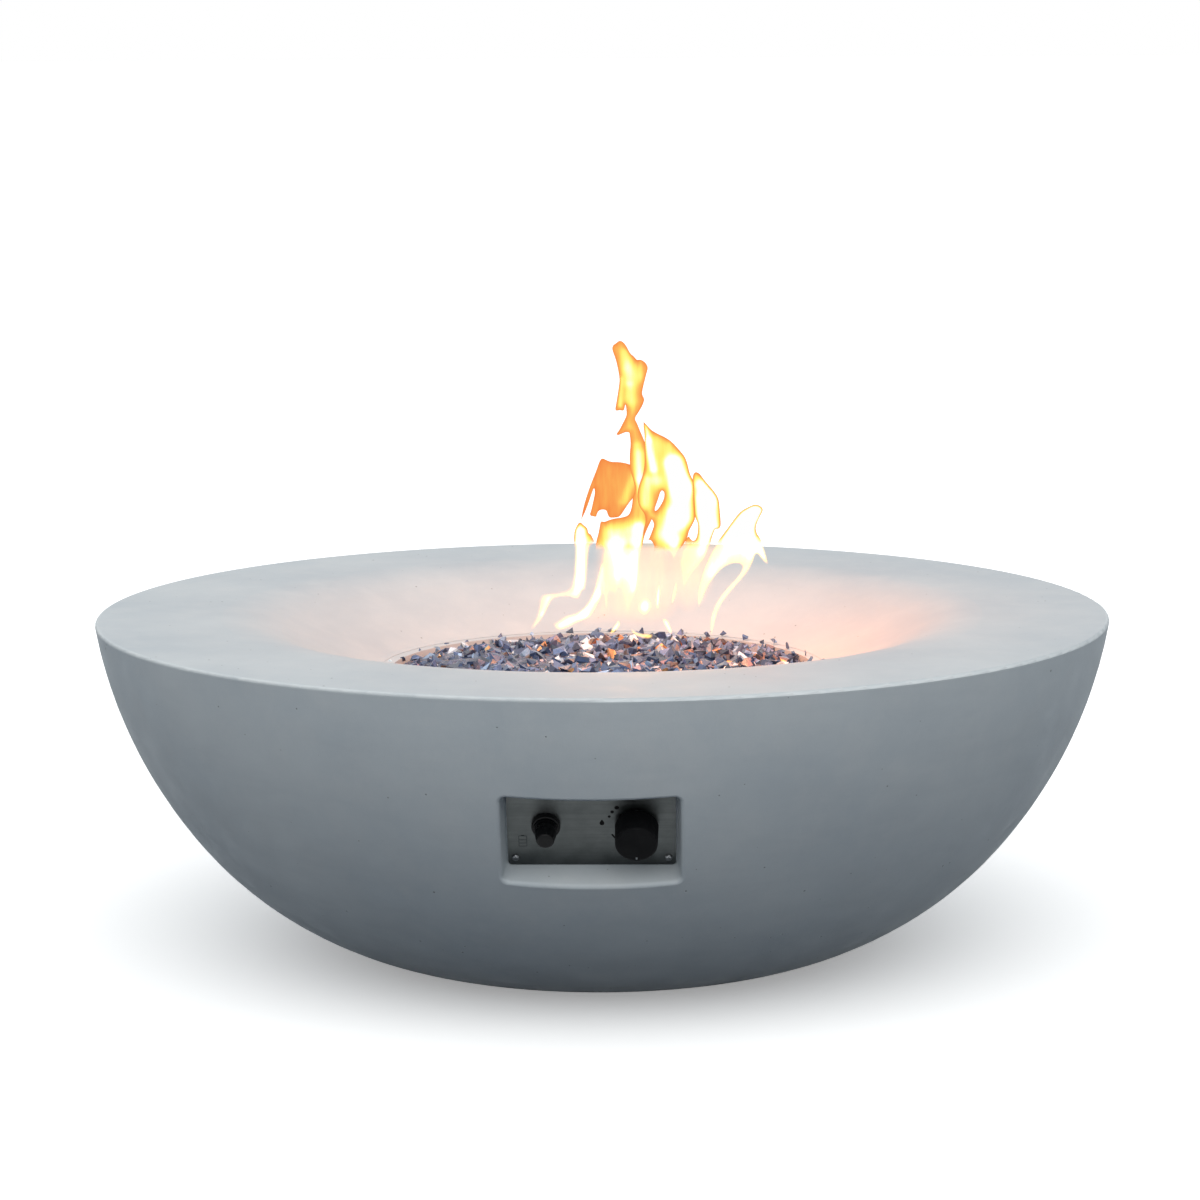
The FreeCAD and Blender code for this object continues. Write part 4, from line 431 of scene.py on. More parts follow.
def finishes():
    """The material of each slot, and those of the panel, its screws and the pan."""
    return {
        "concrete": concrete(),
        "stainless": metal("stainless", (0.5, 0.51, 0.51), (0.36, 0.37, 0.37), 0.34, (0.04, 1, 1)),
        "heated_steel": metal("heated_steel", (0.42, 0.4, 0.38), (0.22, 0.2, 0.19), 0.42, (1, 1, 1),
                              (0.25, 0.13, 0.06), 0.55),
        "zinc_steel": metal("zinc_steel", (0.62, 0.63, 0.64), (0.42, 0.43, 0.45), 0.4, (1, 0.2, 1),
                            (0.5, 0.46, 0.38), 0.3),
        # The panel's steel and its screws' steel are painted far darker than bare steel, as painted shade
        # and a painted dark reflection in the recess.
        "panel_steel_painted_shade": metal("panel_steel_painted_shade", (0.085, 0.092, 0.093), (0.057, 0.063, 0.064), 0.36,
                             (0.04, 1, 1)),
        "panel_screw_steel_painted_shade": metal("panel_screw_steel_painted_shade", (0.24, 0.25, 0.26), (0.13, 0.14, 0.15), 0.3),
        "pan_coat": moulded("pan_coat", (0.5, 0.54, 0.565), (0.57, 0.6, 0.615), 0.66, 0.3, 900),
        "screw_steel": metal("screw_steel", (0.68, 0.68, 0.67), (0.45, 0.45, 0.45), 0.26),
        "knob_plastic": moulded("knob_plastic", (0.003, 0.0032, 0.0038), (0.008, 0.0085, 0.0092),
                                0.6, 0.06),
        "igniter_plastic": moulded("igniter_plastic", (0.003, 0.0032, 0.0038), (0.009, 0.0095, 0.0102),
                                   0.34, 0.12, 2200),
        "valve_alloy": metal("valve_alloy", (0.6, 0.6, 0.6), (0.4, 0.4, 0.41), 0.5),
        "brass": metal("brass", (0.72, 0.53, 0.25), (0.5, 0.35, 0.15), 0.32, (1, 1, 1),
                       (0.2, 0.13, 0.07), 0.4),
        "spring_steel": metal("spring_steel", (0.56, 0.55, 0.53), (0.35, 0.34, 0.33), 0.3),
        "glass": glass_bed(),
        "ceramic": ceramic(),
        "hose": braided(),
        "copper": metal("copper", (0.72, 0.34, 0.2), (0.45, 0.19, 0.1), 0.35, (1, 1, 1),
                        (0.12, 0.07, 0.05), 0.5),
        "wire": sleeved_wire(),
        "cell": battery_sleeve(),
    }


def dress(frame):
    """Every CAD node takes the finish of its slot, but the panel and its screws take steel painted dark as
    shade and the pan is coated.
    """
    made = finishes()
    own = {"control_panel": "panel_steel_painted_shade", "panel_screws": "panel_screw_steel_painted_shade", "burner_pan": "pan_coat"}
    for part in frame["record"]["subparts"]:
        mesh = frame["nodes"][part["node"]].data
        mesh.materials.clear()
        mesh.materials.append(made[own.get(part["node"], part["material_slot"])])
    return made


def new_piece(name, mesh, finish):
    """A finished mesh as an object in the scene."""
    mesh.materials.append(finish)
    made = bpy.data.objects.new(name, mesh)
    bpy.context.scene.collection.objects.link(made)
    return made


# Crushed glass on the burner

def chip_shape(rng):
    """One broken piece of glass, about 1 unit in radius: a rough lump, a wedge or a thin flake."""
    directions = rng.normal(size=(rng.integers(7, 12), 3))
    directions /= np.linalg.norm(directions, axis=1)[:, None]
    points = directions * rng.uniform(0.72, 1.05, (len(directions), 1))
    points *= (1, rng.uniform(0.6, 0.95), rng.choice((0.35, 0.55, 0.75)))
    work = bmesh.new()
    for point in points:
        work.verts.new(point)
    bmesh.ops.convex_hull(work, input=work.verts)
    loose = [v for v in work.verts if not v.link_faces]
    bmesh.ops.delete(work, geom=loose, context="VERTS")
    work.verts.index_update()
    vertices = np.array([v.co[:] for v in work.verts])
    faces = [[v.index for v in face.verts] for face in work.faces]
    work.free()
    return vertices, faces


def random_turn(rng):
    """A random rotation as a 3 by 3 array."""
    a, b, c, d = rng.normal(size=4)
    size = math.sqrt(a * a + b * b + c * c + d * d)
    a, b, c, d = a / size, b / size, c / size, d / size
    return np.array([
        [1 - 2 * (c * c + d * d), 2 * (b * c - a * d), 2 * (b * d + a * c)],
        [2 * (b * c + a * d), 1 - 2 * (b * b + d * d), 2 * (c * d - a * b)],
        [2 * (b * d - a * c), 2 * (c * d + a * b), 1 - 2 * (b * b + c * c)],
    ])


def bed_height(radius):
    """Height of the glass bed at a distance from the middle, and of the pan's flange round it."""
    if radius > GLASS_RADIUS:
        return FLANGE_TOP
    if radius > GLASS_RADIUS - GLASS_BAND:
        return GLASS_EDGE + (FLANGE_TOP - GLASS_EDGE) * (1 - (GLASS_RADIUS - radius) / GLASS_BAND)
    return GLASS_EDGE + (GLASS_TOP - GLASS_EDGE) * (1 - (radius / GLASS_RADIUS) ** 2)


def chip_tint(rng):
    """The colour of one piece: brown and amber ones are painted reflections of the flame, clear ones
    painted white glints.
    """
    base = np.array(GLASS_TINTS_WITH_PAINTED_GLINTS[rng.choice(len(GLASS_TINTS_WITH_PAINTED_GLINTS), p=GLASS_SHARES)])
    return base * rng.uniform(0.75, 1.3)


def glass_pile(finish):
    """The loose top layers of crushed glass as one mesh of many closed pieces."""
    rng = np.random.default_rng(GLASS_SEED)
    shapes = [chip_shape(rng) for _ in range(GLASS_SHAPES)]
    vertices, faces, facet_colours_with_painted_sparkle = [], [], []
    golden = math.pi * (3 - math.sqrt(5))
    for count, inner, reach, lift, size in GLASS_LAYERS:
        for i in range(count):
            radius = math.sqrt(inner ** 2 + (reach ** 2 - inner ** 2) * (i + 0.5) / count)
            angle = i * golden + rng.normal(0, 0.02)
            radius = min(reach, abs(radius + rng.normal(0, 0.002)))
            shape, sides = shapes[rng.integers(len(shapes))]
            half = size * rng.uniform(0.65, 1.25)
            across, along = radius * math.cos(angle), radius * math.sin(angle)
            height = bed_height(radius) + lift + GLASS_LEAN * across + rng.uniform(-0.001, 0.0015)
            middle = np.array([across, along, height])
            turned = shape @ random_turn(rng).T * half + middle
            start = len(vertices)
            vertices += turned.tolist()
            tint = chip_tint(rng)
            for side in sides:
                faces.append([start + k for k in side])
                # Each facet is painted brighter or darker than its piece, a painted sparkle.
                facet_colours_with_painted_sparkle.append(tint * rng.choice(FACET_PAINTED_SPARKLE))
    mesh = bpy.data.meshes.new("glass_pile")
    mesh.from_pydata(vertices, [], faces)
    colours = mesh.color_attributes.new("Tint", "FLOAT_COLOR", "CORNER")
    counts = [len(side) for side in faces]
    flat = np.repeat(np.clip(np.array(facet_colours_with_painted_sparkle), 0, 1), counts, axis=0)
    flat = np.hstack([flat, np.ones((len(flat), 1))])
    colours.data.foreach_set("color", flat.astype(np.float32).ravel())
    pile = new_piece("glass_pile", mesh, finish)
    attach(pile, "bowl")


def flange_bead(finish):
    """A thin bead of mortar from the foot of the basin's slope down to the pan's flange."""
    sides = len(BEAD_SECTION)
    vertices, faces = [], []
    for i in range(BEAD_STEPS):
        angle = 2 * math.pi * i / BEAD_STEPS
        for radius, height in BEAD_SECTION:
            vertices.append((radius * math.cos(angle), radius * math.sin(angle), height))
        here, there = i * sides, (i + 1) % BEAD_STEPS * sides
        for k in range(sides):
            after = (k + 1) % sides
            faces.append((here + k, here + after, there + after, there + k))
    mesh = bpy.data.meshes.new("flange_bead")
    mesh.from_pydata(vertices, [], faces)
    work = bmesh.new()
    work.from_mesh(mesh)
    bmesh.ops.recalc_face_normals(work, faces=work.faces)
    work.to_mesh(mesh)
    work.free()
    bead = new_piece("flange_bead", mesh, finish)
    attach(bead, "bowl")


# Springs behind the panel

def coil(frame, node, turns, wire, joint, travel):
    """A coil spring in the place of its node, with flat ends, given its own copy of the mesh where it has a
    joint.
    """
    sleeve = frame["nodes"][node].data
    points = np.array([v.co[:] for v in sleeve.vertices])
    axis, side, up = np.array(PANEL_OUT), np.array(PANEL_ALONG), np.array(PANEL_UP)
    along = points @ axis
    low, high = along.min(), along.max()
    flat = points - np.outer(along, axis)
    middle = (flat.max(0) + flat.min(0)) / 2
    radius = np.linalg.norm(flat - middle, axis=1).max() - wire
    steps, ring = turns * COIL_STEPS, COIL_SIDES
    vertices, faces = [], []
    for i in range(steps + 1):
        share = min(1, max(0, (i / COIL_STEPS - COIL_FLAT) / (turns - 2 * COIL_FLAT)))
        angle = 2 * math.pi * i / COIL_STEPS
        away = side * math.cos(angle) + up * math.sin(angle)
        centre = middle + away * radius + axis * (low + wire + (high - low - 2 * wire) * share)
        for k in range(ring):
            lean = 2 * math.pi * k / ring
            vertices.append(tuple(centre + wire * (away * math.cos(lean) + axis * math.sin(lean))))
    for i in range(steps):
        for k in range(ring):
            here, after = i * ring + k, i * ring + (k + 1) % ring
            faces.append((here, here + ring, after + ring, after))
    faces.append(tuple(range(ring)))
    faces.append(tuple(steps * ring + k for k in reversed(range(ring))))
    mesh = bpy.data.meshes.new(node + "_coil")
    mesh.from_pydata(vertices, [], faces)
    mesh.shade_smooth()
    piece = new_piece(node + "_coil", mesh, sleeve.materials[0])
    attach(piece, "bowl")
    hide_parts(node)
    if joint:
        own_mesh(piece)


# Marks on the panel and the knob

def on_panel(along, up, out):
    """A point of the panel in the bowl's frame."""
    return PANEL_MIDDLE + PANEL_ALONG * along + PANEL_UP * up + PANEL_OUT * out


def flat_mark(name, outlines, finish, body, low, high):
    """A thin raised mark on the panel, from outlines as (along, up) corners with straight sides down."""
    work = bmesh.new()
    for outline in outlines:
        bottom = [work.verts.new(on_panel(x, u, low)) for x, u in outline]
        top = [work.verts.new(on_panel(x, u, high)) for x, u in outline]
        work.faces.new(top)
        work.faces.new(bottom[::-1])
        for i in range(len(outline)):
            k = (i + 1) % len(outline)
            work.faces.new((bottom[i], bottom[k], top[k], top[i]))
    bmesh.ops.recalc_face_normals(work, faces=work.faces)
    mesh = bpy.data.meshes.new(name)
    work.to_mesh(mesh)
    work.free()
    mark = new_piece(name, mesh, finish)
    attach(mark, body)


def disc(x, u, radius, steps=20):
    """Corners of a small round dot."""
    turns = [2 * math.pi * i / steps for i in range(steps)]
    return [(x + radius * math.cos(t), u + radius * math.sin(t)) for t in turns]


def around_knob(radius, degrees):
    """A point beside the knob, at an angle above its left side."""
    turn = math.radians(180 - degrees)
    return KNOB_ALONG + radius * math.cos(turn), radius * math.sin(turn)


def drop(x, u, size, steps=24):
    """Corners of a drop with its point up."""
    corners = []
    for i in range(steps):
        t = 2 * math.pi * i / steps
        corners.append((x + size * math.sin(t) * math.sin(t / 2) * 0.85, u + size * math.cos(t)))
    return corners


def arc_band(radius, start, end, width, steps=10):
    """Corners of a curved stroke round the knob."""
    angles = [start + (end - start) * i / steps for i in range(steps + 1)]
    outer = [around_knob(radius + width / 2, a) for a in angles]
    inner = [around_knob(radius - width / 2, a) for a in reversed(angles)]
    return outer + inner


def line_band(x1, u1, x2, u2, width):
    """Corners of a straight stroke."""
    length = math.hypot(x2 - x1, u2 - u1)
    across = ((u1 - u2) / length * width / 2, (x2 - x1) / length * width / 2)
    return [(x1 + across[0], u1 + across[1]), (x2 + across[0], u2 + across[1]),
            (x2 - across[0], u2 - across[1]), (x1 - across[0], u1 - across[1])]


def battery_outline(x, u, width, height, line):
    """Strokes of a small upright battery sign with its terminal and two bars."""
    left, right, low, high = x - width / 2, x + width / 2, u - height / 2, u + height / 2
    return [
        line_band(left, low, right, low, line),
        line_band(left, high, right, high, line),
        line_band(left, low, left, high, line),
        line_band(right, low, right, high, line),
        line_band(x - width * 0.2, high + line * 1.4, x + width * 0.2, high + line * 1.4, line * 1.6),
        line_band(left, u + height * 0.12, right, u + height * 0.12, line),
        line_band(left, u - height * 0.2, right, u - height * 0.2, line),
    ]


def panel_marks():
    """The knob's scale, the battery sign and the knob's pointer line."""
    dark = printed("panel_ink", (0.002, 0.002, 0.0025))
    faint = printed("panel_faint_ink", (0.03, 0.032, 0.034))
    pale = printed("pointer_paint", (0.3, 0.31, 0.31))
    low, high = PLATE_FACE - INK_SUNK, PLATE_FACE + INK_RAISED
    dots = [disc(*around_knob(SCALE_DISTANCE, angle), radius) for angle, radius in SCALE_DOTS]
    flat_mark("scale_dots", dots, dark, "bowl", low, high)
    drops = [drop(*around_knob(*DROP_PLACE), DROP_SIZE)]
    flat_mark("scale_drop", drops, dark, "bowl", low, high)
    flat_mark("scale_stroke", [arc_band(*STROKE)], dark, "bowl", low, high)
    battery = battery_outline(*BATTERY_PLACE, *BATTERY_SIZE, BATTERY_LINE)
    flat_mark("battery_sign", battery, faint, "bowl", low, high)
    inner, outer = -KNOB_EDGE * POINTER_START, -KNOB_EDGE + POINTER_END
    half = POINTER_WIDTH / 2 - POINTER_GAP
    left, right = KNOB_ALONG - half, KNOB_ALONG + half
    line = [(left, inner), (right, inner), (right, outer), (left, outer)]
    bottom, top = KNOB_FRONT - POINTER_DEPTH - INK_SUNK, KNOB_FRONT - INK_SUNK
    flat_mark("pointer_line", [line], pale, "knob", bottom, top)


# The flame is light and no piece of the bowl. Its outlines and hot streaks are in millimetres, across from
# the middle and up from its foot. Each sheet is its depth, its heat past the edge, how deep that edge is,
# its cover at most, its outline, its holes and its streaks (from, to, half width, added heat).

FLAME_SHEETS = {
    "tall": (4, 0.34, 3.4, 1, [
        (20, 313), (24, 311), (27, 307), (31, 299), (35, 296), (38, 292), (41, 293), (46, 291),
        (50, 285), (48, 278), (46, 270), (44, 262), (43, 256), (46, 251), (44, 245), (40, 238),
        (35, 231), (38, 226), (41, 218), (45, 209), (47, 202), (50, 191), (53, 182), (59, 174),
        (63, 161), (58, 149), (56, 138), (55, 130), (52, 121), (47, 111), (44, 102), (43, 92), (41, 81),
        (40, 66), (38, 48), (34, 41), (32, 24), (29, 8), (24, 24), (21, 41), (18, 52), (16, 41),
        (13, 34), (10, 46), (8, 32), (5, 22), (2, 32), (0, 47), (-5, 36), (-10, 21), (-15, 9), (-16, 21),
        (-12, 34), (-6, 48), (-4, 65), (-3, 82), (2, 94), (-7, 86), (-6, 100), (-4, 106), (-2, 116),
        (-1, 122), (3, 121), (7, 123), (13, 125), (22, 126), (29, 128), (32, 136), (33, 147), (36, 155),
        (34, 165), (31, 174), (30, 183), (30, 193), (31, 202), (31, 208), (30, 215), (30, 216),
        (27, 217), (22, 215), (18, 213), (16, 214), (16, 214), (20, 220), (24, 228), (27, 234),
        (27, 239), (26, 247), (25, 243), (24, 239), (20, 240), (16, 239), (15, 241), (16, 246),
        (17, 252), (19, 264), (20, 273), (18, 284), (16, 293), (13, 301), (12, 305), (13, 308),
        (16, 310)
    ], [], [
        (27, 301, 29, 270, 4.9, 0.3), (30, 284, 38, 276, 7.5, 0.2), (31, 266, 31, 249, 4.9, 0.28),
        (21, 273, 20, 246, 2.7, 0.3), (38, 203, 40, 155, 4.4, 0.24), (41, 194, 40, 168, 5.6, 0.26),
        (44, 164, 47, 146, 7.3, 0.4), (9, 111, 38, 114, 7.3, 0.3), (17, 102, 34, 102, 6.7, 0.3),
        (13, 95, 29, 66, 10.3, 0.6), (40, 115, 36, 48, 6.7, 0.7), (14, 91, 17, 67, 8.8, 0.8),
        (34, 83, 36, 50, 8.4, 0.8), (-1, 74, 4, 30, 2.2, 0.5), (16, 65, 17, 48, 3.3, 0.5)
    ]),
    "sheet": (14, 0.14, 3.5, 1, [
        (-22, 122), (-22, 122), (-20, 133), (-17, 144), (-13, 156), (-9, 166), (-5, 176), (-2, 185),
        (1, 188), (5, 186), (10, 184), (17, 184), (24, 183), (30, 181), (40, 177), (44, 169), (41, 159),
        (38, 153), (34, 146), (30, 142), (24, 133), (19, 125), (13, 124), (8, 124), (6, 128), (5, 132),
        (1, 133), (-3, 132), (-5, 129), (-6, 125), (-9, 126), (-13, 127), (-11, 133), (-9, 142),
        (-7, 151), (-8, 157), (-11, 149), (-14, 140), (-18, 130)
    ], [], [
        (34, 169, 24, 142, 6.1, 0.3)
    ]),
    "right": (-10, 0.36, 3.4, 1, [
        (45, 229), (45, 229), (48, 226), (53, 220), (60, 216), (68, 212), (75, 207), (82, 199),
        (88, 192), (91, 184), (93, 174), (97, 166), (98, 159), (98, 147), (99, 135), (99, 126),
        (96, 120), (92, 113), (91, 107), (87, 100), (83, 94), (79, 85), (77, 76), (74, 84), (71, 91),
        (70, 86), (66, 80), (62, 75), (63, 85), (65, 91), (59, 85), (53, 76), (48, 68), (48, 76),
        (52, 85), (57, 95), (53, 103), (50, 104), (44, 105), (44, 113), (47, 123), (46, 131), (42, 136),
        (39, 142), (38, 152), (40, 162), (44, 172), (46, 184), (46, 196), (46, 208), (46, 217),
        (45, 223)
    ], [
        [(64, 157), (67, 154), (66, 147), (63, 141), (59, 135), (56, 134), (57, 139), (60, 147),
         (62, 154)],
        [(53, 126), (56, 120), (54, 114), (52, 109), (50, 104), (47, 104), (44, 106), (48, 117),
         (52, 124)]
    ], [
        (47, 225, 50, 209, 2.9, 0.5), (49, 209, 55, 180, 4.4, 0.8), (56, 213, 71, 203, 10.3, 0.14),
        (74, 186, 83, 156, 6.7, 0.8), (78, 184, 85, 159, 9.2, 0.9), (85, 159, 84, 129, 10.2, 0.9),
        (78, 129, 71, 111, 10.3, 0.8), (77, 104, 77, 89, 5.8, 0.6), (47, 168, 46, 142, 6.7, 0.35),
        (58, 168, 59, 167, 7.3, 0.35)
    ]),
    "tongue": (22, 0.44, 2.6, 1, [
        (96, 162), (97, 170), (100, 172), (104, 170), (108, 164), (114, 157), (120, 150), (124, 143),
        (125, 131), (126, 120), (126, 114), (124, 111), (120, 111), (118, 106), (116, 100), (115, 94),
        (113, 87), (109, 78), (103, 71), (95, 62), (92, 53), (88, 46), (92, 44), (91, 31), (88, 38),
        (84, 51), (82, 66), (80, 77), (83, 84), (82, 87), (88, 96), (89, 100), (92, 104), (94, 100),
        (97, 98), (100, 100), (102, 108), (102, 117), (99, 123), (97, 131), (97, 143), (96, 153)
    ], [], [
        (105, 159, 114, 143, 6.7, 0.8), (113, 143, 113, 112, 9.1, 0.9), (106, 143, 108, 119, 6.7, 0.6),
        (113, 112, 106, 88, 7.9, 0.7), (106, 88, 97, 63, 6.1, 0.4)
    ]),
    "left": (30, 0.5, 2.2, 1, [
        (-24, 118), (-20, 114), (-16, 111), (-15, 105), (-12, 104), (-10, 99), (-8, 96), (-12, 93),
        (-14, 81), (-15, 68), (-16, 56), (-18, 44), (-21, 45), (-25, 34), (-31, 35), (-38, 37),
        (-47, 36), (-54, 34), (-59, 22), (-66, 11), (-74, 2), (-79, -2), (-79, -2), (-76, 8), (-71, 17),
        (-69, 27), (-68, 37), (-64, 41), (-56, 41), (-46, 42), (-37, 45), (-33, 52), (-31, 65),
        (-31, 68), (-30, 81), (-30, 93), (-30, 106), (-28, 112)
    ], [], [
        (-24, 108, -23, 44, 5.8, 0.9), (-22, 95, -24, 56, 5.5, 0.5), (-25, 54, -30, 39, 4, 0.6),
        (-57, 37, -64, 19, 3.7, 0.8), (-64, 19, -73, 4, 2.2, 0.5), (-33, 40, -53, 38, 1.8, 0.45)
    ]),
    "low_left": (-34, 0.6, 1.9, 1, [
        (1, 85), (6, 80), (5, 65), (3, 52), (-2, 39), (-8, 28), (-14, 23), (-23, 19), (-31, 15),
        (-38, 12), (-45, 11), (-48, 13), (-52, 18), (-46, 21), (-38, 27), (-31, 28), (-22, 32),
        (-16, 39), (-11, 47), (-7, 58), (-4, 70)
    ], [], [
        (0, 76, -4, 49, 4.4, 0.7), (-4, 49, -18, 30, 4.7, 0.9), (-18, 28, -42, 17, 4.7, 0.9)
    ]),
    "blob": (-50, 0.6, 1.6, 1, [
        (46, 49), (52, 46), (54, 40), (52, 33), (46, 28), (41, 31), (38, 36), (40, 44)
    ], [], [
        (46, 40, 46, 38, 5.1, 0.95)
    ]),
    "streak": (-48, 0.6, 1.2, 1, [
        (61, 66), (61, 66), (63, 56), (62, 45), (60, 34), (60, 34), (58, 38), (57, 47), (59, 58)
    ], [], [
        (61, 58, 59, 40, 1.6, 0.95)
    ]),
    "wisp": (-30, 0.45, 1.4, 0.7, [
        (80, 66), (80, 53), (78, 44), (74, 36), (73, 42), (75, 52), (78, 61)
    ], [], [
        (78, 61, 76, 42, 2.4, 0.5)
    ]),
    "spark_a": (-58, 0.6, 1.2, 1, [
        (19, 27), (21, 21), (18, 16), (14, 12), (8, 10), (8, 10), (11, 16), (15, 21)
    ], [], [
        (17, 21, 13, 14, 2.4, 0.85)
    ]),
    "spark_b": (-60, 0.6, 1.2, 1, [
        (63, 29), (63, 29), (69, 28), (73, 21), (76, 10), (76, 10), (71, 13), (67, 20)
    ], [], [
        (68, 24, 73, 15, 2.4, 0.9)
    ]),
    "spark_c": (-56, 0.5, 1.2, 0.8, [
        (29, 23), (34, 15), (40, 12), (48, 11), (56, 10), (56, 10), (52, 5), (44, 6), (36, 9), (31, 14)
    ], [], [
        (34, 13, 52, 8, 2.4, 0.6)
    ]),
    "curl": (35, 0.75, 1.3, 1, [
        (164, 136), (172, 131), (168, 123), (163, 112), (164, 104), (168, 99), (174, 85), (178, 68),
        (178, 68), (170, 75), (164, 84), (161, 74), (156, 64), (148, 54), (138, 42), (128, 30),
        (122, 17), (119, 4), (116, -11), (116, -11), (114, 4), (115, 17), (121, 31), (131, 44),
        (144, 58), (150, 69), (144, 73), (131, 69), (120, 58), (112, 46), (107, 33), (102, 22),
        (102, 22), (100, 38), (106, 62), (113, 79), (122, 94), (134, 111), (146, 127), (155, 132)
    ], [], [
        (159, 128, 144, 99, 10.6, 0.85), (144, 99, 158, 85, 10.6, 0.8), (144, 99, 116, 62, 8.1, 0.6),
        (169, 87, 172, 79, 4.4, 0.6), (153, 68, 122, 27, 2.5, 0.35), (119, 17, 117, -5, 1.9, 0.3)
    ]),
    "haze": (8, 0.36, 9, 0.5, [
        (-14, 110), (3, 122), (52, 124), (82, 118), (96, 90), (98, 52), (88, 22), (64, 3), (35, 2), (17, 6),
        (-5, 3), (-24, 3), (-34, 15), (-21, 31), (-15, 55)
    ], [], [
        (21, 92, 32, 40, 18, 0.08), (60, 96, 62, 60, 14, 0.06)
    ]),
    "haze_right": (12, 0.36, 7, 0.4, [
        (70, 118), (100, 122), (128, 112), (138, 92), (128, 64), (118, 36), (96, 16), (74, 22), (66, 60)
    ], [], [
        (90, 92, 96, 60, 14, 0.12)
    ]),
}


def eased(values, low, high):
    """0 below low, 1 above high, and a smooth step between them."""
    share = np.clip((values - low) / (high - low), 0, 1)
    return share * share * (3 - 2 * share)


def rounded(corners):
    """A closed outline cut back twice at each corner, where a corner given twice stays sharp."""
    points = np.array(corners, float)
    for _ in range(2):
        after = np.roll(points, -1, axis=0)
        cut = [points * 0.75 + after * 0.25, points * 0.25 + after * 0.75]
        points = np.stack(cut, axis=1).reshape(-1, 2)
    apart = np.linalg.norm(points - np.roll(points, 1, axis=0), axis=1) > 0.05
    return points[apart]


def away_from(points, starts, ends):
    """Distance of each point from the nearest of the straight pieces."""
    along = ends - starts
    size = np.maximum((along ** 2).sum(1), 1e-9)
    from_start = points[:, None, :] - starts[None]
    share = np.clip((from_start * along[None]).sum(2) / size[None], 0, 1)
    return np.linalg.norm(from_start - share[:, :, None] * along[None], axis=2)


def inside(points, outline):
    """Which points lie inside a closed outline."""
    x, u = points[:, :1], points[:, 1:]
    ax, au = outline[:, 0], outline[:, 1]
    bx, bu = np.roll(ax, -1), np.roll(au, -1)
    crosses = (au > u) != (bu > u)
    slope = (bx - ax) / np.where(bu == au, 1e-9, bu - au)
    return (crosses & (x < ax + slope * (u - au))).sum(1) % 2 == 1


def sheet_cells(outline, holes, step):
    """Corners and triangles that fill an outline around its holes, the pieces of its edge, and how far
    each corner is from that edge."""
    rings = [outline] + holes
    starts = np.vstack(rings)
    ends = np.vstack([np.roll(ring, -1, axis=0) for ring in rings])
    low, high = outline.min(0), outline.max(0)
    rows = np.arange(low[1], high[1], step * 0.87)
    grid = np.array([(x + (step / 2 if k % 2 else 0), row) for k, row in enumerate(rows)
                     for x in np.arange(low[0], high[0], step)])
    kept = inside(grid, outline)
    for hole in holes:
        kept &= ~inside(grid, hole)
    grid = grid[kept]
    grid = grid[away_from(grid, starts, ends).min(1) > step * 0.55]
    corners = np.vstack([starts, grid])
    edges, first = [], 0
    for ring in rings:
        edges += [(first + i, first + (i + 1) % len(ring)) for i in range(len(ring))]
        first += len(ring)
    found = delaunay_2d_cdt([Vector(p) for p in corners], edges, [], 0, 0.001)
    corners = np.array([v[:] for v in found[0]])
    triangles = np.array(found[2])
    middles = corners[triangles].mean(1)
    kept = inside(middles, outline)
    for hole in holes:
        kept &= ~inside(middles, hole)
    triangles = triangles[kept]
    turns = np.vstack([triangles[:, (0, 1)], triangles[:, (1, 2)], triangles[:, (2, 0)]])
    pairs = {tuple(turn) for turn in turns.tolist()}
    border = [(a, b) for a, b in pairs if (b, a) not in pairs]
    return corners, triangles, border, away_from(corners, starts, ends).min(1)


def flame_sheet(name, depth, warmth, skin, most, outline, holes, streaks, finish):
    """One closed lens of flame, thick in the middle. Its mesh holds its heat, its cover and how much it
    keeps of what is behind it. The haze shows only in the low part."""
    holes = [rounded(hole) for hole in holes]
    flat, triangles, border, edge = sheet_cells(rounded(outline), holes, FLAME_GRID)
    widest = edge.max()
    heat = 0.04 + warmth * (1 - np.exp(-edge / skin))
    starts = np.array([s[:2] for s in streaks], float)
    ends = np.array([s[2:4] for s in streaks], float)
    gaps = away_from(flat, starts, ends) / np.array([s[4] for s in streaks])
    streaked = (np.array([s[5] for s in streaks]) * np.exp(-gaps ** 2)).sum(1)
    heat += streaked * eased(edge, 0, min(2.5, widest * 0.5))
    low = 1 - eased(flat[:, 1], FLAME_SPLIT[0], FLAME_SPLIT[1])
    soft = eased(heat, 0.1, 0.6) * eased(edge, 0, min(skin * 2.5, widest * 0.9))
    over_rim = 0 if name.startswith("flame_haze") else 1
    cover = most * ((1 - low) * over_rim + soft * low)
    kept = 1 - cover * (1 - LOW_KEPT * low)
    cover *= 1 - LOW_DIMMED * low
    heat *= 1 - LOW_COOLED * low
    thick = FLAME_THIN + FLAME_THICK * np.sqrt(1 - (1 - np.clip(edge / FLAME_ROUND, 0, 1)) ** 2)
    wave = FLAME_WAVE * np.sin(flat[:, 0] / 9 + flat[:, 1] / 23 + depth) + depth
    x, z = flat[:, 0] / 1000, FLAME_BASE + flat[:, 1] / 1000
    front = np.column_stack([x, (wave - thick) / 1000, z])
    back = np.column_stack([x, (wave + thick) / 1000, z])
    count = len(flat)
    faces = triangles.tolist() + (triangles[:, ::-1] + count).tolist()
    faces += [(b, a, a + count, b + count) for a, b in border]
    mesh = bpy.data.meshes.new(name)
    mesh.from_pydata(np.vstack([front, back]).tolist(), [], faces)
    for label, values in (("Heat", heat), ("Cover", cover), ("Kept", kept)):
        layer = mesh.attributes.new(label, "FLOAT", "POINT")
        layer.data.foreach_set("value", np.tile(values, 2).astype(np.float32))
    mesh.shade_smooth()
    made = new_piece(name, mesh, finish)
    made.visible_diffuse = False
    made.visible_shadow = False


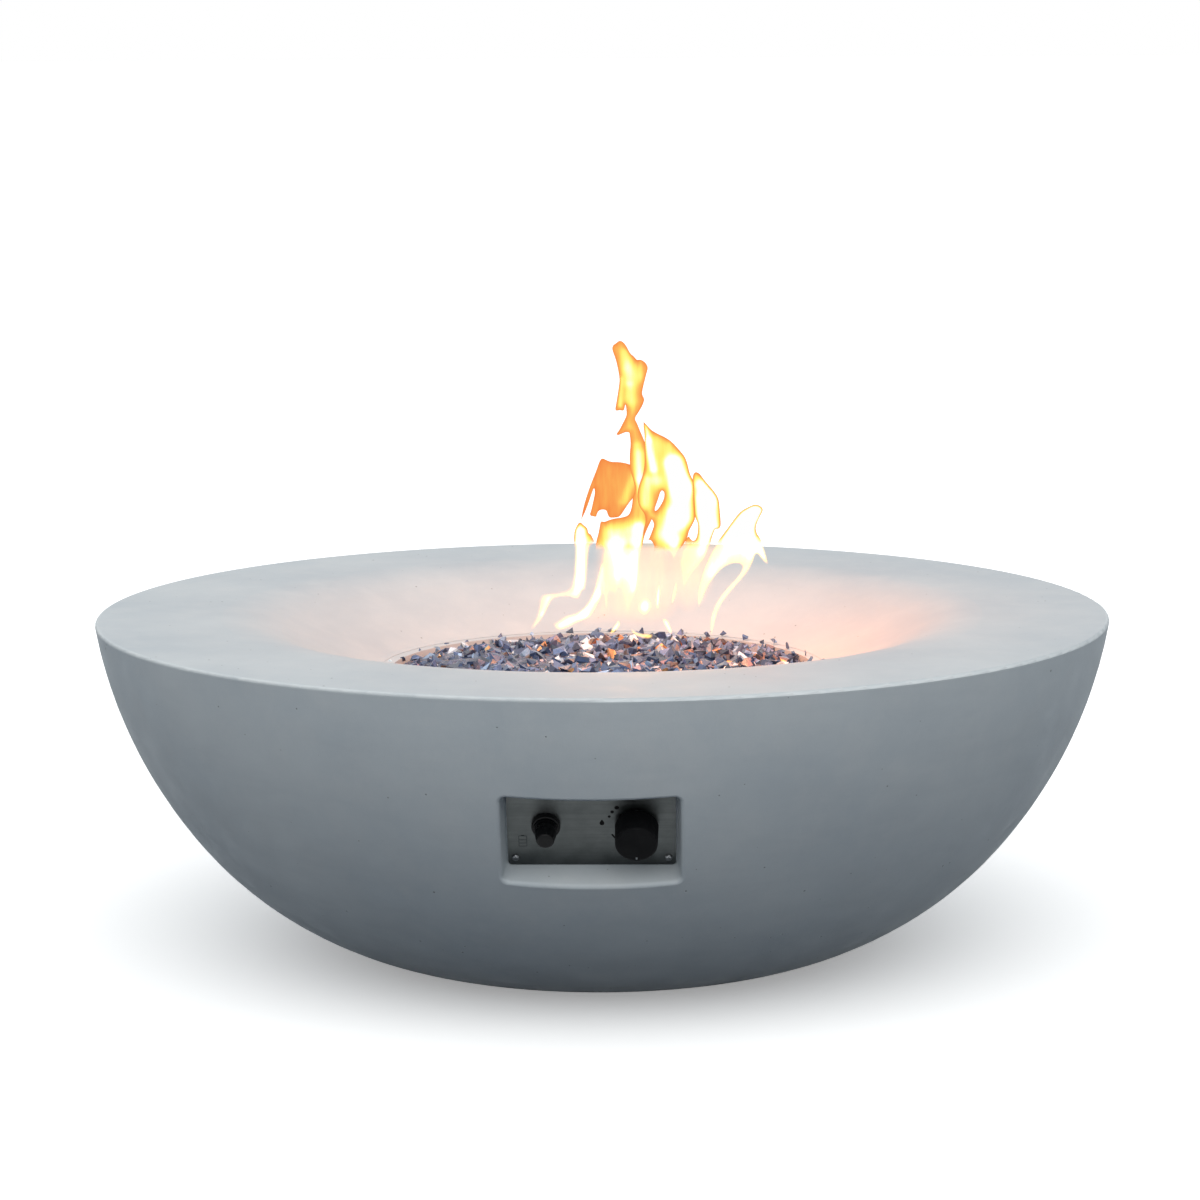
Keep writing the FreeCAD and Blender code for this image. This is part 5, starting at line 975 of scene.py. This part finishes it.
def burning_gas():
    """Glowing gas: orange where it is cool, then yellow, and white where it is hottest. Its light is
    added to the share that it keeps of what is behind it."""
    material = bpy.data.materials.new("flame")
    material.use_nodes = True
    tree = material.node_tree
    tree.nodes.clear()
    heat = put(tree, "ShaderNodeAttribute", attribute_name="Heat").outputs["Fac"]
    cover = put(tree, "ShaderNodeAttribute", attribute_name="Cover").outputs["Fac"]
    wisps = between(tree, noise(tree, 1, 4, 0.55, stretched(tree, (160, 60, 26))), 0.3, 0.7, -0.07, 0.07)
    colours = put(tree, "ShaderNodeValToRGB", {"Fac": maths(tree, "ADD", heat, wisps)})
    ramp = colours.color_ramp
    stops = ((0.0, (0.90, 0.24, 0.055)), (0.14, (0.965, 0.345, 0.085)), (0.3, (1.0, 0.50, 0.115)),
             (0.46, (1.0, 0.84, 0.17)), (0.6, (1.0, 0.985, 0.26)), (0.78, (1.0, 1.0, 0.62)),
             (0.95, (1.0, 1.0, 1.0)))
    while len(ramp.elements) < len(stops):
        ramp.elements.new(0.5)
    for element, (spot, colour) in zip(ramp.elements, stops):
        element.position = spot
        element.color = (*colour, 1)
    glow = put(tree, "ShaderNodeEmission", {"Color": colours.outputs["Color"], "Strength": cover})
    kept = put(tree, "ShaderNodeAttribute", attribute_name="Kept").outputs["Color"]
    clear = put(tree, "ShaderNodeBsdfTransparent", {"Color": kept})
    added = put(tree, "ShaderNodeAddShader", {0: clear.outputs[0], 1: glow.outputs[0]})
    put(tree, "ShaderNodeOutputMaterial", {"Surface": added.outputs[0]})
    return material


def flame():
    """The flame's sheets, one behind another."""
    gas = burning_gas()
    for name, sheet in FLAME_SHEETS.items():
        flame_sheet("flame_" + name, *sheet, gas)


# The room: a plain pale floor, soft light and the camera

def seen_share(tree):
    """1 for what the camera sees, itself or in metal or glass, and 0 for the light on the object."""
    path = put(tree, "ShaderNodeLightPath")
    share = maths(tree, "MAXIMUM", path.outputs["Is Camera Ray"], path.outputs["Is Glossy Ray"])
    return maths(tree, "MAXIMUM", share, path.outputs["Is Transmission Ray"])


def floor():
    """A plain floor that reads as white and throws little light back up."""
    material, tree, surface = new_material("floor")
    paint = blended(tree, seen_share(tree), (0.037, 0.056, 0.084), (1, 1, 1))
    plug(tree, surface.inputs["Base Color"], paint)
    surface.inputs["Roughness"].default_value = 0.9
    surface.inputs["Specular IOR Level"].default_value = 0
    surface.inputs["Emission Color"].default_value = (1, 1, 1, 1)
    plug(tree, surface.inputs["Emission Strength"], maths(tree, "MULTIPLY", seen_share(tree), 0.3))
    mesh = bpy.data.meshes.new("floor")
    corners = [(FLOOR_REACH * x, FLOOR_REACH * y, 0) for x, y in ((-1, -1), (1, -1), (1, 1), (-1, 1))]
    mesh.from_pydata(corners, [], [(0, 1, 2, 3)])
    made = new_piece("floor", mesh, material)


def surroundings():
    """A world that lights evenly, a little cool, and shows as white."""
    world = bpy.data.worlds.new("studio")
    world.use_nodes = True
    tree = world.node_tree
    tree.nodes.clear()
    light = put(tree, "ShaderNodeBackground", {"Color": (0.91, 0.965, 1.0), "Strength": 0.62})
    white = put(tree, "ShaderNodeBackground", {"Color": (1.0, 1.0, 1.0), "Strength": 1.0})
    shaders = {0: seen_share(tree), 1: light.outputs[0], 2: white.outputs[0]}
    mixed = put(tree, "ShaderNodeMixShader", shaders)
    put(tree, "ShaderNodeOutputWorld", {"Surface": mixed.outputs[0]})
    bpy.context.scene.world = world


def lamp(name, kind, energy, colour, where, size):
    """One lamp. Its size is a radius for a point and an angle for a sun."""
    data = bpy.data.lights.new(name, kind)
    data.energy = energy
    data.color = colour
    if kind == "POINT":
        data.shadow_soft_size = size
    else:
        data.angle = size
    made = bpy.data.objects.new(name, data)
    made.location = where
    bpy.context.scene.collection.objects.link(made)
    return made


def lights():
    """One broad lamp overhead and the flame's own warm glow in the basin."""
    above = lamp("overhead", "SUN", energy=1.8, colour=(1.0, 0.98, 0.95), where=(0, -1, 4),
                 size=math.radians(75))
    above.rotation_euler = (math.radians(39), math.radians(2), 0)
    lamp("flame_glow", "POINT", energy=2.3, colour=(1.0, 0.385, 0.15),
         where=(0.02, 0.03, FLAME_BASE + 0.15), size=0.07)
    lamp("flame_glow_right", "POINT", energy=0.9, colour=(1.0, 0.24, 0.03),
         where=(0.17, 0.02, FLAME_BASE + 0.08), size=0.05)


def camera():
    """The camera at the photograph's viewing angle."""
    out = CAMERA_DISTANCE * math.cos(CAMERA_RISE)
    rise = RIM_HEIGHT + CAMERA_DISTANCE * math.sin(CAMERA_RISE)
    stand = Vector((out * math.sin(CAMERA_SIDE), -out * math.cos(CAMERA_SIDE), rise))
    aside = CAMERA_SIDE + CAMERA_TURN
    flat = math.cos(CAMERA_PITCH)
    look = Vector((-math.sin(aside) * flat, math.cos(aside) * flat, -math.sin(CAMERA_PITCH)))
    right = look.cross(Vector((0, 0, 1))).normalized()
    up = right.cross(look)
    turn = Matrix((right, up, -look)).transposed().to_4x4()
    data = bpy.data.cameras.new("camera")
    data.lens = CAMERA_LENS
    data.sensor_width = CAMERA_SENSOR
    data.clip_end = CAMERA_REACH
    made = bpy.data.objects.new("camera", data)
    made.matrix_world = Matrix.Translation(stand) @ turn @ Matrix.Rotation(CAMERA_ROLL, 4, "Z")
    bpy.context.scene.collection.objects.link(made)
    bpy.context.scene.camera = made


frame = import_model()
made = dress(frame)
glass_pile(crushed_glass())
flange_bead(made["concrete"])
for spring in COILS:
    coil(frame, *spring)
panel_marks()
flame()
floor()
surroundings()
lights()
camera()
bpy.context.scene.view_settings.view_transform = "Standard"
